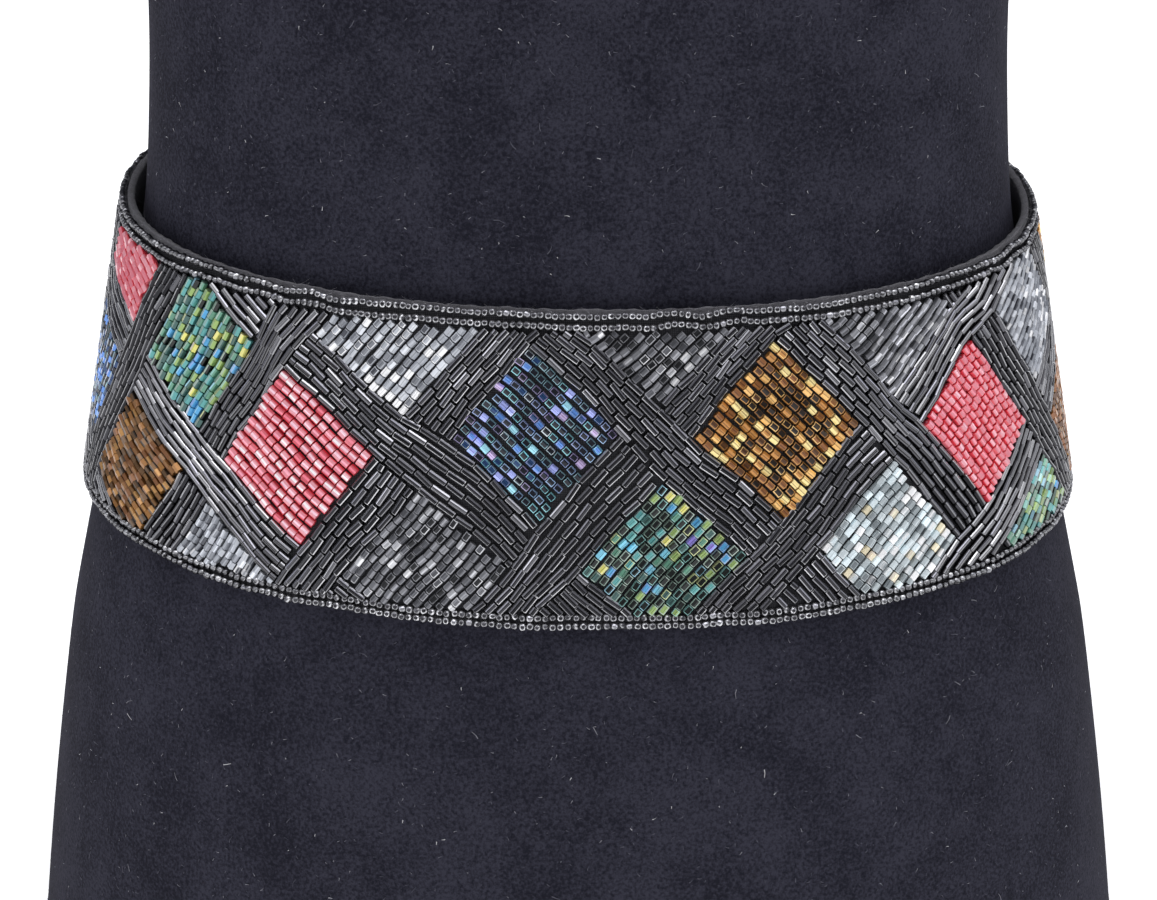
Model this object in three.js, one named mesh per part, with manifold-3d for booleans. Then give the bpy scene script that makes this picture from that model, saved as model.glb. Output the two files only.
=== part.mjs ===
// A beaded belt on a limbless dress form.
// Millimetres, +Z up, the front faces -Y. The origin is the middle of the form's flat base.
import * as THREE from 'three';
import { mergeVertices } from 'three/addons/utils/BufferGeometryUtils.js';
import Module from 'manifold-3d';

const wasm = await Module();
wasm.setup();

// The belt lies round the form as a sloping ring. Heights on it run from its lower edge,
// and lengths along it run from the middle of the front, positive to the right.
const BELT_HEIGHT = 88.9; // three and a half inches of lining
const LOWER_EDGE_Z = 165; // where the lower edge crosses the form's middle
const LOWER_HALF_WIDTH = 153.4; // middle to the ground cloth's face at the lower edge
const UPPER_HALF_WIDTH = 136.3; // the same at the upper edge: the belt is cut on a curve
const DEPTH_SHARE = 0.72; // the ring's depth as a share of its width
const RING_POWER = 2.15; // 2 is an ellipse, more is squarer
const FRONT_DIP = Math.tan((6 * Math.PI) / 180); // the front hangs lower than the back
const SIDE_LEAN = 0.0145; // the left side sits a little higher

// Layers, as distances out from the ground cloth's face.
const SEAM = 0.3; // air between layers and beside pieces
const GROUND_THICKNESS = 1.0;
const LINING_THICKNESS = 1.2;
const LINING_OUT = -(GROUND_THICKNESS + SEAM + LINING_THICKNESS);
const BEAD_HEIGHT = 2.0;
const RECESS_FLOOR = 0.15; // what is left of the bead field under an inlaid diamond
const TAPE_THICKNESS = 1.0;

// Heights of the parts of the belt's face.
const LINING_LOWER = 0.3;
const PANEL_UPPER = 87.6; // the lining stands a little above the beaded panel
const FIELD_LOWER = 4.5;
const FIELD_UPPER = 81.6;
const EDGING_RADIUS = 0.95;
const EDGING_ROWS = [
  { name: 'bottom_edging_outer', height: 0.95 },
  { name: 'bottom_edging_inner', height: 3.2 },
  { name: 'top_edging_inner', height: 82.9 },
  { name: 'top_edging_outer', height: 86.1 },
];

// The ends lap at the middle of the back, the left end over the right one.
const LAP = 45;
const LAP_RAMP = 40; // the stretch in which the left end rises over the right one
const LAP_LIFT = TAPE_THICKNESS + 2 * SEAM - LINING_OUT;

// The lattice of diamonds was laid out straight on the flat belt. The belt is cut on a
// curve, so worn, each row of diamonds arches from the front down towards the sides.
const LATTICE = {
  alongFront: -12.8, // where the blue middle diamond sits, along the belt and up it
  upFront: 50.7,
  archRadius: 480,
  halfPitch: 34.5, // half the distance between two diamonds of a row
  rise: 33.0, // from one row of diamonds to the next
  turn: 0.083, // radians
  share: 0.68, // a diamond's side, as a share of the lattice's
};
const SMALLEST_DIAMOND = 0.3; // of a whole one, where an edge cuts it
const PLAIN_END = 20; // the left end's tip has no diamonds

const STATION = 9; // the longest straight stretch along the belt
const DIAMOND_STEPS = 3;

// The dress form, from its base to its neck. Lean is the share of the belt's slope that
// a section takes, so that the belt's lower edge rests evenly on the hip.
const FORM_SECTIONS = [
  { z: 0, halfWidth: 174.5, front: 122, back: 122, lean: 0 },
  { z: 4, halfWidth: 178, front: 125.5, back: 125.5, lean: 0 },
  { z: 17, halfWidth: 176.8, front: 125, back: 125, lean: 0.1 },
  { z: 54, halfWidth: 171.8, front: 122.5, back: 122.5, lean: 0.35 },
  { z: 89, halfWidth: 166.4, front: 118.5, back: 119.5, lean: 0.6 },
  { z: 118, halfWidth: 161.4, front: 114.8, back: 116, lean: 0.8 },
  { z: 134, halfWidth: 157.8, front: 112.3, back: 113, lean: 0.9 },
  { z: 165, halfWidth: 150.3, front: 107.3, back: 107.3, lean: 1 },
  { z: 195, halfWidth: 143.0, front: 102.0, back: 101.2, lean: 1 },
  { z: 225, halfWidth: 136.2, front: 97.2, back: 95.3, lean: 0.9 },
  { z: 252, halfWidth: 131.0, front: 93.8, back: 91, lean: 0.8 },
  { z: 282, halfWidth: 128.1, front: 91.8, back: 88.6, lean: 0.6 },
  { z: 312, halfWidth: 126.6, front: 91, back: 87.8, lean: 0.4 },
  { z: 345, halfWidth: 127.2, front: 92, back: 89, lean: 0.2 },
  { z: 390, halfWidth: 131.5, front: 98, back: 93, lean: 0 },
  { z: 440, halfWidth: 139.5, front: 109, back: 99, lean: 0 },
  { z: 490, halfWidth: 147, front: 119, back: 105, lean: 0 },
  { z: 535, halfWidth: 152, front: 121, back: 109, lean: 0 },
  { z: 580, halfWidth: 156.5, front: 114.5, back: 111, lean: 0 },
  { z: 625, halfWidth: 160.5, front: 101, back: 109, lean: 0 },
  { z: 655, halfWidth: 160.5, front: 91, back: 103, lean: 0 },
  { z: 676, halfWidth: 154, front: 84, back: 96, lean: 0 },
  { z: 694, halfWidth: 140, front: 77.5, back: 88.5, lean: 0 },
  { z: 710, halfWidth: 119, front: 71.5, back: 80, lean: 0 },
  { z: 724, halfWidth: 94, front: 64.5, back: 70, lean: 0 },
  { z: 738, halfWidth: 72, front: 58, back: 61.5, lean: 0 },
  { z: 755, halfWidth: 60, front: 53.5, back: 55.5, lean: 0 },
  { z: 778, halfWidth: 55.5, front: 51, back: 53, lean: 0 },
  { z: 802, halfWidth: 54.5, front: 50, back: 52, lean: 0 },
  { z: 805, halfWidth: 51.5, front: 47, back: 49, lean: 0 },
];
const FORM_SIDES = 48;
const FORM_RISE = 31; // the most between two rings

// Colours follow the lattice's two diagonals, and these diamonds differ from them.
const COLUMN_COLOURS = ['blue', 'gold', 'red'];
const ROW_COLOURS = ['hematite', 'green', 'silver'];
const OWN_COLOURS = [
  { i: -2, j: -2, colour: 'bronze' },
  { i: -4, j: -2, colour: 'bronze' },
  { i: -3, j: -2, colour: 'blue' },
  { i: 1, j: 2, colour: 'hematite' },
  { i: 2, j: 1, colour: 'pearl' },
  { i: 3, j: 2, colour: 'green' },
  { i: 3, j: 3, colour: 'gold' },
];

const FINISHES = {
  velvet: { color: 0x17171d, roughness: 0.95, metalness: 0 },
  felt: { color: 0x2b2a2e, roughness: 0.95, metalness: 0 },
  bugles: { color: 0x26272b, roughness: 0.25, metalness: 0.3 },
  seeds: { color: 0x4b4c50, roughness: 0.3, metalness: 0.4 },
  tape: { color: 0x1c1c1e, roughness: 0.9, metalness: 0 },
  red: { color: 0xc2414d, roughness: 0.35, metalness: 0 },
  gold: { color: 0xa8793a, roughness: 0.3, metalness: 0.5 },
  bronze: { color: 0x7a5526, roughness: 0.35, metalness: 0.5 },
  blue: { color: 0x26364f, roughness: 0.3, metalness: 0.2 },
  green: { color: 0x2f5a4c, roughness: 0.3, metalness: 0.2 },
  silver: { color: 0x9a9da3, roughness: 0.3, metalness: 0.6 },
  pearl: { color: 0xb9bdc0, roughness: 0.3, metalness: 0.4 },
  hematite: { color: 0x4a4b50, roughness: 0.3, metalness: 0.6 },
};

const belt = new THREE.Group();

function addPiece(name, geometry, finish) {
  const piece = new THREE.Mesh(geometry, new THREE.MeshStandardMaterial(FINISHES[finish]));
  piece.name = name;
  belt.add(piece);
}

function signedPower(value, power) {
  return Math.sign(value) * Math.abs(value) ** power;
}

function smoothStep(value) {
  const t = Math.min(Math.max(value, 0), 1);
  return t * t * (3 - 2 * t);
}

// A closed solid from its points and triangles, turned outward.
function closedGeometry(points, faces) {
  let volume = 0;
  for (const [a, b, c] of faces) {
    volume += points[a].dot(new THREE.Vector3().crossVectors(points[b], points[c]));
  }
  const outward = volume > 0 ? faces : faces.map(([a, b, c]) => [a, c, b]);
  const geometry = new THREE.BufferGeometry();
  geometry.setAttribute('position', new THREE.Float32BufferAttribute(
    points.flatMap((point) => point.toArray()), 3));
  geometry.setIndex(outward.flat());
  geometry.computeVertexNormals();
  return geometry;
}

function toSolid(geometry) {
  const plain = geometry.clone();
  plain.deleteAttribute('normal');
  const merged = mergeVertices(plain, 1e-4);
  return new wasm.Manifold(new wasm.Mesh({
    numProp: 3,
    vertProperties: new Float32Array(merged.attributes.position.array),
    triVerts: new Uint32Array(merged.index.array),
  }));
}

function toGeometry(solid) {
  const mesh = solid.getMesh();
  const geometry = new THREE.BufferGeometry();
  geometry.setAttribute('position', new THREE.Float32BufferAttribute(mesh.vertProperties, 3));
  geometry.setIndex(Array.from(mesh.triVerts));
  geometry.computeVertexNormals();
  return geometry;
}

// The ring: at an angle from the front towards the right, its direction in a unit square.
function ringDirection(angle) {
  const across = signedPower(Math.sin(angle), 2 / RING_POWER);
  const forward = signedPower(Math.cos(angle), 2 / RING_POWER);
  return { across, forward };
}

// Angles by length along the ring at the belt's middle height.
const MIDDLE_HALF_WIDTH = (LOWER_HALF_WIDTH + UPPER_HALF_WIDTH) / 2;
const lengths = [0];
const ANGLE_STEPS = 7200;
for (let step = 1; step <= ANGLE_STEPS; step += 1) {
  const [from, to] = [step - 1, step].map((at) => {
    const { across, forward } = ringDirection((at * 2 * Math.PI) / ANGLE_STEPS);
    return [across * MIDDLE_HALF_WIDTH, forward * MIDDLE_HALF_WIDTH * DEPTH_SHARE];
  });
  lengths.push(lengths[step - 1] + Math.hypot(to[0] - from[0], to[1] - from[1]));
}
const ROUND = lengths[ANGLE_STEPS];

function angleAlong(along) {
  const wanted = ((along % ROUND) + ROUND) % ROUND;
  let low = 0;
  let high = ANGLE_STEPS;
  while (high - low > 1) {
    const middle = (low + high) >> 1;
    if (lengths[middle] <= wanted) low = middle;
    else high = middle;
  }
  const share = (wanted - lengths[low]) / (lengths[high] - lengths[low]);
  return ((low + share) * 2 * Math.PI) / ANGLE_STEPS;
}

const LEFT_END = -(ROUND + LAP) / 2;
const RIGHT_END = (ROUND + LAP) / 2;
const FIELD_LEFT = LEFT_END + 2;
const FIELD_RIGHT = ROUND + LEFT_END - 1.5; // beside the left end's edge
const LIFTED_FROM = RIGHT_END - ROUND + 5; // past the right end's edge

function lapLift(along) {
  return LAP_LIFT * smoothStep((LIFTED_FROM + LAP_RAMP - along) / LAP_RAMP);
}

// A point of the worn belt: along it, up it, and out from the ground cloth's face.
function beltPoint(along, up, out) {
  const { across, forward } = ringDirection(angleAlong(along));
  const taper = (UPPER_HALF_WIDTH - LOWER_HALF_WIDTH) / BELT_HEIGHT;
  const halfWidth = LOWER_HALF_WIDTH + taper * up;
  const x = halfWidth * across;
  const y = -halfWidth * DEPTH_SHARE * forward;
  const z = LOWER_EDGE_Z + up - SIDE_LEAN * x + FRONT_DIP * y;
  const normalX = signedPower(across, RING_POWER - 1);
  const normalY = -signedPower(forward, RING_POWER - 1) / DEPTH_SHARE;
  const round = new THREE.Vector3(-normalY, normalX, SIDE_LEAN * normalY + FRONT_DIP * normalX);
  const slopeX = taper * across;
  const slopeY = -taper * DEPTH_SHARE * forward;
  const upward = new THREE.Vector3(slopeX, slopeY, 1 - SIDE_LEAN * slopeX + FRONT_DIP * slopeY);
  const normal = round.cross(upward).normalize();
  return new THREE.Vector3(x, y, z).addScaledVector(normal, out + lapLift(along));
}

function stations(from, to) {
  const list = [from];
  for (let at = Math.ceil((from + 1) / STATION) * STATION; at < to - 1; at += STATION) {
    list.push(at);
  }
  list.push(to);
  return list;
}

// A section of [up, out] corners drawn along the belt.
function sweep(section, from, to) {
  const list = stations(from, to);
  const points = list.flatMap((along) => section.map(([up, out]) => beltPoint(along, up, out)));
  const count = section.length;
  const faces = [];
  for (let row = 0; row < list.length - 1; row += 1) {
    for (let side = 0; side < count; side += 1) {
      const a = row * count + side;
      const b = row * count + ((side + 1) % count);
      faces.push([a, b, b + count], [a, b + count, a + count]);
    }
  }
  const corners = section.map(([up, out]) => new THREE.Vector2(up, out));
  const last = (list.length - 1) * count;
  for (const [a, b, c] of THREE.ShapeUtils.triangulateShape(corners, [])) {
    const turned = THREE.ShapeUtils.area([corners[a], corners[b], corners[c]])
      * THREE.ShapeUtils.area(corners) > 0;
    const cap = turned ? [a, c, b] : [a, b, c];
    faces.push(cap, [cap[0] + last, cap[2] + last, cap[1] + last]);
  }
  return closedGeometry(points, faces);
}

function rectangle(lower, upper, inner, outer) {
  return [[lower, inner], [upper, inner], [upper, outer], [lower, outer]];
}

// A place in the lattice, in steps down its two diagonals, as a place on the belt.
function latticePlace(i, j) {
  const side = LATTICE.halfPitch * (i + j);
  const rise = LATTICE.rise * (j - i);
  const x = side * Math.cos(LATTICE.turn) - rise * Math.sin(LATTICE.turn);
  const y = side * Math.sin(LATTICE.turn) + rise * Math.cos(LATTICE.turn);
  const radius = Math.hypot(x, LATTICE.archRadius - y);
  return {
    along: LATTICE.alongFront + LATTICE.archRadius * Math.atan2(x, LATTICE.archRadius - y),
    up: LATTICE.upFront + LATTICE.archRadius - radius,
  };
}

// A diamond between two distances out. Grown is in millimetres, on every side.
function diamondSlab(i, j, grown, inner, outer) {
  const half = LATTICE.share / 2 + grown / Math.hypot(LATTICE.halfPitch, LATTICE.rise);
  const count = DIAMOND_STEPS + 1;
  const points = [];
  for (const out of [inner, outer]) {
    for (let row = 0; row < count; row += 1) {
      for (let column = 0; column < count; column += 1) {
        const place = latticePlace(
          i + half * ((2 * column) / DIAMOND_STEPS - 1),
          j + half * ((2 * row) / DIAMOND_STEPS - 1));
        points.push(beltPoint(place.along, place.up, out));
      }
    }
  }
  const layer = count * count;
  const at = (row, column) => row * count + column;
  const faces = [];
  const addQuad = (a, b, c, d) => faces.push([a, b, c], [a, c, d]);
  for (let row = 0; row < DIAMOND_STEPS; row += 1) {
    for (let column = 0; column < DIAMOND_STEPS; column += 1) {
      const corners = [at(row, column), at(row, column + 1), at(row + 1, column + 1), at(row + 1, column)];
      addQuad(corners[3], corners[2], corners[1], corners[0]);
      addQuad(...corners.map((corner) => corner + layer));
    }
  }
  for (let step = 0; step < DIAMOND_STEPS; step += 1) {
    const edges = [
      [at(0, step), at(0, step + 1)],
      [at(step, DIAMOND_STEPS), at(step + 1, DIAMOND_STEPS)],
      [at(DIAMOND_STEPS, DIAMOND_STEPS - step), at(DIAMOND_STEPS, DIAMOND_STEPS - step - 1)],
      [at(DIAMOND_STEPS - step, 0), at(DIAMOND_STEPS - step - 1, 0)],
    ];
    for (const [a, b] of edges) addQuad(a, b, b + layer, a + layer);
  }
  return closedGeometry(points, faces);
}

// The share of a diamond that lies on the bead field.
function shareOnField(i, j) {
  const probes = 9;
  let inside = 0;
  for (let a = 0; a < probes; a += 1) {
    for (let b = 0; b < probes; b += 1) {
      const place = latticePlace(
        i + LATTICE.share * ((a + 0.5) / probes - 0.5),
        j + LATTICE.share * ((b + 0.5) / probes - 0.5));
      const onHeight = place.up > FIELD_LOWER && place.up < FIELD_UPPER;
      const onLength = place.along > FIELD_LEFT && place.along < FIELD_RIGHT;
      if (onHeight && onLength) inside += 1;
    }
  }
  return inside / probes ** 2;
}

function diamondColour(i, j) {
  const own = OWN_COLOURS.find((row) => row.i === i && row.j === j);
  if (own) return own.colour;
  const evenRow = (j - i) % 2 === 0;
  return evenRow ? COLUMN_COLOURS[((j % 3) + 3) % 3] : ROW_COLOURS[((i % 3) + 3) % 3];
}

// Every diamond that an edge doesn't cut away, from the left end of the belt to the right.
function listDiamonds() {
  const list = [];
  for (let i = -14; i <= 14; i += 1) {
    for (let j = -14; j <= 14; j += 1) {
      const { along } = latticePlace(i, j);
      if (along > FIELD_LEFT + PLAIN_END && shareOnField(i, j) >= SMALLEST_DIAMOND) {
        list.push({ i, j, colour: diamondColour(i, j), along });
      }
    }
  }
  return list.sort((one, other) => one.along - other.along);
}

// A value of the form's table at a height, smooth through its rows.
function formValue(column, z) {
  const rows = FORM_SECTIONS;
  let at = 0;
  while (at < rows.length - 2 && rows[at + 1].z <= z) at += 1;
  const slope = (index) => {
    const before = rows[Math.max(index - 1, 0)];
    const after = rows[Math.min(index + 1, rows.length - 1)];
    return (after[column] - before[column]) / (after.z - before.z);
  };
  const [low, high] = [rows[at], rows[at + 1]];
  const step = high.z - low.z;
  const t = (z - low.z) / step;
  return (2 * t ** 3 - 3 * t ** 2 + 1) * low[column]
    + (t ** 3 - 2 * t ** 2 + t) * step * slope(at)
    + (3 * t ** 2 - 2 * t ** 3) * high[column]
    + (t ** 3 - t ** 2) * step * slope(at + 1);
}

// A ring at each row of the table, and between rows that are far apart.
function formHeights() {
  const heights = [FORM_SECTIONS[0].z];
  for (let at = 1; at < FORM_SECTIONS.length; at += 1) {
    const from = FORM_SECTIONS[at - 1].z;
    const rise = FORM_SECTIONS[at].z - from;
    const count = Math.ceil(rise / FORM_RISE);
    for (let step = 1; step <= count; step += 1) heights.push(from + (rise * step) / count);
  }
  return heights;
}

function dressForm() {
  const heights = formHeights();
  const points = [];
  for (const z of heights) {
    const lean = formValue('lean', z);
    for (let side = 0; side < FORM_SIDES; side += 1) {
      const { across, forward } = ringDirection((side * 2 * Math.PI) / FORM_SIDES);
      const x = formValue('halfWidth', z) * across;
      const y = -formValue(forward > 0 ? 'front' : 'back', z) * forward;
      points.push(new THREE.Vector3(x, y, z + lean * (FRONT_DIP * y - SIDE_LEAN * x)));
    }
  }
  const base = points.push(new THREE.Vector3(0, 0, heights[0])) - 1;
  const cap = points.push(new THREE.Vector3(0, 0, heights[heights.length - 1])) - 1;
  const last = (heights.length - 1) * FORM_SIDES;
  const faces = [];
  for (let side = 0; side < FORM_SIDES; side += 1) {
    const next = (side + 1) % FORM_SIDES;
    for (let row = 0; row < last; row += FORM_SIDES) {
      faces.push([row + side, row + next, row + next + FORM_SIDES]);
      faces.push([row + side, row + next + FORM_SIDES, row + side + FORM_SIDES]);
    }
    faces.push([base, next, side], [cap, last + side, last + next]);
  }
  return closedGeometry(points, faces);
}

// The ground cloth with its raised bead field, and the recesses that the diamonds fill.
function beadedPanel(diamonds) {
  const section = [
    [0, -GROUND_THICKNESS],
    [PANEL_UPPER, -GROUND_THICKNESS],
    [PANEL_UPPER, 0],
    [FIELD_UPPER, 0],
    [FIELD_UPPER, BEAD_HEIGHT],
    [FIELD_LOWER, BEAD_HEIGHT],
    [FIELD_LOWER, 0],
    [0, 0],
  ];
  const lapped = rectangle(0, PANEL_UPPER, -GROUND_THICKNESS, 0);
  let panel = toSolid(sweep(section, LEFT_END, FIELD_RIGHT));
  panel = panel.add(toSolid(sweep(lapped, FIELD_RIGHT - 3, RIGHT_END)));
  for (const { i, j } of diamonds) {
    panel = panel.subtract(toSolid(diamondSlab(i, j, SEAM, RECESS_FLOOR, 3 * BEAD_HEIGHT)));
  }
  return toGeometry(panel);
}

function edgingSection(height) {
  const sides = 5;
  return Array.from({ length: sides }, (_, side) => {
    const angle = (side * 2 * Math.PI) / sides;
    return [
      height + EDGING_RADIUS * Math.cos(angle),
      SEAM + EDGING_RADIUS + EDGING_RADIUS * Math.sin(angle),
    ];
  });
}

const diamonds = listDiamonds();
addPiece('dress_form', dressForm(), 'velvet');
addPiece('lining', sweep(
  rectangle(LINING_LOWER, BELT_HEIGHT, LINING_OUT, LINING_OUT + LINING_THICKNESS),
  LEFT_END, RIGHT_END), 'felt');
addPiece('beaded_panel', beadedPanel(diamonds), 'bugles');
addPiece('closure_tape', sweep(
  rectangle(14, 74, SEAM, SEAM + TAPE_THICKNESS), FIELD_RIGHT + 6, RIGHT_END - 4), 'tape');
for (const { name, height } of EDGING_ROWS) {
  addPiece(name, sweep(edgingSection(height), FIELD_LEFT, FIELD_RIGHT), 'seeds');
}
const fieldLimits = toSolid(sweep(
  rectangle(FIELD_LOWER, FIELD_UPPER, -BEAD_HEIGHT, 4 * BEAD_HEIGHT), FIELD_LEFT, FIELD_RIGHT));
diamonds.forEach(({ i, j, colour }, index) => {
  const slab = toSolid(diamondSlab(i, j, 0, RECESS_FLOOR + SEAM, BEAD_HEIGHT));
  const name = `diamond_${String(index + 1).padStart(2, '0')}_${colour}`;
  addPiece(name, toGeometry(slab.intersect(fieldLimits)), colour);
});

export default belt;
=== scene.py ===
"""A beaded belt on a velvet dress form.

The belt is felt, a ground cloth, and some eight thousand glass beads: a lattice of black bugles
round diamonds of cut beads, between rows of seed beads. Every bead is laid on the same worn
surface as the solids: along the belt, up it, and out from the ground cloth's face.
"""

import math

import bpy
import numpy as np
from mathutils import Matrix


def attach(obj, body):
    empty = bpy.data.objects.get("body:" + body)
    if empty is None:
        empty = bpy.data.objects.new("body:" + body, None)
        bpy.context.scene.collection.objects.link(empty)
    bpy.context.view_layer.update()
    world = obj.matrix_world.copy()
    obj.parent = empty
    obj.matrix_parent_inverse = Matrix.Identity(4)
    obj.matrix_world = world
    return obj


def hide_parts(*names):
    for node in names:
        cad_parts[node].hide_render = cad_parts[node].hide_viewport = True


bl_info = {
    "name": "Beaded belt on a dress form",
    "version": (1, 0, 0),
    "blender": (4, 5, 0),
    "location": "View3D > Sidebar > Belt",
    "description": "Makes a beaded belt, the dress form that it lies on, and a studio",
    "category": "Object",
}

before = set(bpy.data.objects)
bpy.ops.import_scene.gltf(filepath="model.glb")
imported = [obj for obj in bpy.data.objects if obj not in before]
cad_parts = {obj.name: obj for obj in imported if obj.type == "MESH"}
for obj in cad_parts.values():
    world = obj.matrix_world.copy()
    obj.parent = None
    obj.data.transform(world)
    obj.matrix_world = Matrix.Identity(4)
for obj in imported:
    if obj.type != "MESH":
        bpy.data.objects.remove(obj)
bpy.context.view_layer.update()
MM = 0.001

# The worn ring, in millimetres: the solids' own sizes. Along runs from the middle of the
# front to the right, up from the lower edge, and out from the ground cloth's face.
BELT_HEIGHT = 88.9
LOWER_EDGE_Z = 165.0
LOWER_HALF_WIDTH = 153.4
UPPER_HALF_WIDTH = 136.3
DEPTH_SHARE = 0.72
RING_POWER = 2.15
FRONT_DIP = math.tan(math.radians(6))
SIDE_LEAN = 0.0145
LINING_LOWER = 0.3
LINING_UPPER = 87.9
GROUND_UPPER = 85.8
LIP_LOWER = 86.2
LIP_OUT = -0.45
FIELD_LOWER = 4.5
FIELD_UPPER = 81.6
BEADS_LOWER = 4.25
BEADS_UPPER = 81.95
SHORTEST_BEAD = 1.1
SEAM = 0.3
GROUND_THICKNESS = 1.0
LINING_THICKNESS = 1.2
LINING_OUT = -(GROUND_THICKNESS + SEAM + LINING_THICKNESS)
TAPE_THICKNESS = 1.0
LAP = 45.0
LAP_RAMP = 40.0
LAP_LIFT = TAPE_THICKNESS + 2 * SEAM - LINING_OUT
TAPE_LOWER = 14.0
TAPE_UPPER = 74.0
TAPE_INSETS = (6.0, 4.0)  # from the left end's edge under it, and from the right end's tip
EDGING_HEIGHTS = {"bottom": (0.95, 3.3), "top": (83.4, 86.4)}
NEAR_BELT = 6.0  # no lint lies nearer the belt's edges, and no bugle starts further off
END_MARGIN = 1.5  # from the bead field's ends to the middle of a bead

# The lattice of diamonds, laid out straight on the flat, curved belt.
LATTICE_ALONG = -12.8
LATTICE_UP = 50.7
ARCH_RADIUS = 480.0
HALF_PITCH = 34.5
RISE = 33.0
LATTICE_TURN = 0.083
DIAMOND_SHARE = 0.68
LATTICE_STEP = math.hypot(HALF_PITCH, RISE)
SMALLEST_DIAMOND = 0.3
PLAIN_END = 20.0
LATTICE_LINES = range(-14, 15)  # more than the belt has, both ways
FIELD_SAMPLES = 9

# Bugles, in millimetres, and the heights between which the crossings' beads run down.
BUGLE_GAP = 0.3
STRIP_END_GAP = 0.1
SHORTEST_BUGLE = SHORTEST_BEAD * 1.3
MIDDLE_CROSSINGS = (24, 68)

COLUMN_COLOURS = ("blue", "gold", "red")
ROW_COLOURS = ("hematite", "green", "silver")
OWN_COLOURS = {
    (-2, -2): "bronze",
    (-4, -2): "bronze",
    (-3, -2): "blue",
    (1, 2): "hematite",
    (2, 1): "pearl",
    (3, 2): "green",
    (3, 3): "gold",
}

# The dress form's sections: z, half width, front, back, and its share of the belt's slope.
FORM_COLUMNS = ("z", "half_width", "front", "back", "lean")
FORM_SECTIONS = (
    (0, 174.5, 122, 122, 0),
    (4, 178, 125.5, 125.5, 0),
    (17, 176.8, 125, 125, 0.1),
    (54, 171.8, 122.5, 122.5, 0.35),
    (89, 166.4, 118.5, 119.5, 0.6),
    (118, 161.4, 114.8, 116, 0.8),
    (134, 157.8, 112.3, 113, 0.9),
    (165, 150.3, 107.3, 107.3, 1),
    (195, 143.0, 102.0, 101.2, 1),
    (225, 136.2, 97.2, 95.3, 0.9),
    (252, 131.0, 93.8, 91, 0.8),
    (282, 128.1, 91.8, 88.6, 0.6),
    (312, 126.6, 91, 87.8, 0.4),
    (345, 127.2, 92, 89, 0.2),
    (390, 131.5, 98, 93, 0),
    (440, 139.5, 109, 99, 0),
    (490, 147, 119, 105, 0),
    (535, 152, 121, 109, 0),
    (580, 156.5, 114.5, 111, 0),
    (625, 160.5, 101, 109, 0),
    (655, 160.5, 91, 103, 0),
    (676, 154, 84, 96, 0),
    (694, 140, 77.5, 88.5, 0),
    (710, 119, 71.5, 80, 0),
    (724, 94, 64.5, 70, 0),
    (738, 72, 58, 61.5, 0),
    (755, 60, 53.5, 55.5, 0),
    (778, 55.5, 51, 53, 0),
    (802, 54.5, 50, 52, 0),
    (805, 51.5, 47, 49, 0),
)
FORM_SIDES = 144

# Diamonds that were sewn off the even lattice: shifts along and up in mm, growth in width and
# height, how far the top leans along, and how far the right side tilts up.
SEWN_ASTRAY = {
    (0, 0): (0.5, 3.2, 0.97, 1.06, 0, 0),
    (-1, -1): (-0.3, 0.4, 1.04, 1.09, 0, 0),
    (1, 1): (-0.7, 2.1, 1.03, 1.08, -0.07, 0.06),
    (2, 2): (0.5, 1.4, 0.98, 1.08, -0.1, 0),
    (0, -1): (0.8, 0, 1.04, 1, 0, 0),
    (1, 0): (0.7, -0.8, 1, 1, 0, 0.05),
    (2, 1): (0.5, 1.5, 1, 1.05, 0, 0),
    (0, 1): (1, 0, 1, 1, 0, 0),
    (-2, -1): (0, 0, 1.04, 1.03, 0, 0),
    (-2, -2): (0, 0.5, 1.06, 1, 0, 0),
}
ASTRAY_CORE = 19
ASTRAY_REACH = 43
ASTRAY_POWER = 1.3

# Towards the sides the lattice is sewn closer: places along the belt, how far the shift reaches
# at each, the share of it at SHIFT_HEIGHT, and how much more of it there is for each mm up.
SHIFT_HEIGHT = 45
LEFT_SHIFT = ((-310, -195, -88, 0), (0, 107, 0, 0), 0.13, 0.0016)
RIGHT_SHIFT = ((0, 88, 195, 310), (0, 0, 107, 0), 0.085, 0.002)

# How hand-sewn rows sway along the belt and up it: the reach in mm, the length of a wave along
# and up, and where it starts.
SWAY_ALONG = (0.3, 14.3, 8.1, 1.3)
SWAY_UP = (0.35, 10.9, -15.1, 0.4)

# The mid-height crossings, past these diamonds, whose beads run up and not down.
UP_CROSSINGS = {(-3, -2)}


def hex_to_linear(text):
    """An sRGB hex colour as linear red, green and blue."""
    parts = [int(text[at : at + 2], 16) / 255 for at in (1, 3, 5)]
    return tuple(c / 12.92 if c <= 0.04045 else ((c + 0.055) / 1.055) ** 2.4 for c in parts)


def signed_power(value, power):
    return np.sign(value) * np.abs(value) ** power


def smooth_step(value):
    t = np.clip(value, 0, 1)
    return t * t * (3 - 2 * t)


def unit(vectors):
    return vectors / np.linalg.norm(vectors, axis=-1, keepdims=True)


def ring_direction(angle):
    """At an angle from the front to the right, the ring's place in a unit square."""
    power = 2 / RING_POWER
    return signed_power(np.sin(angle), power), signed_power(np.cos(angle), power)


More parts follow.
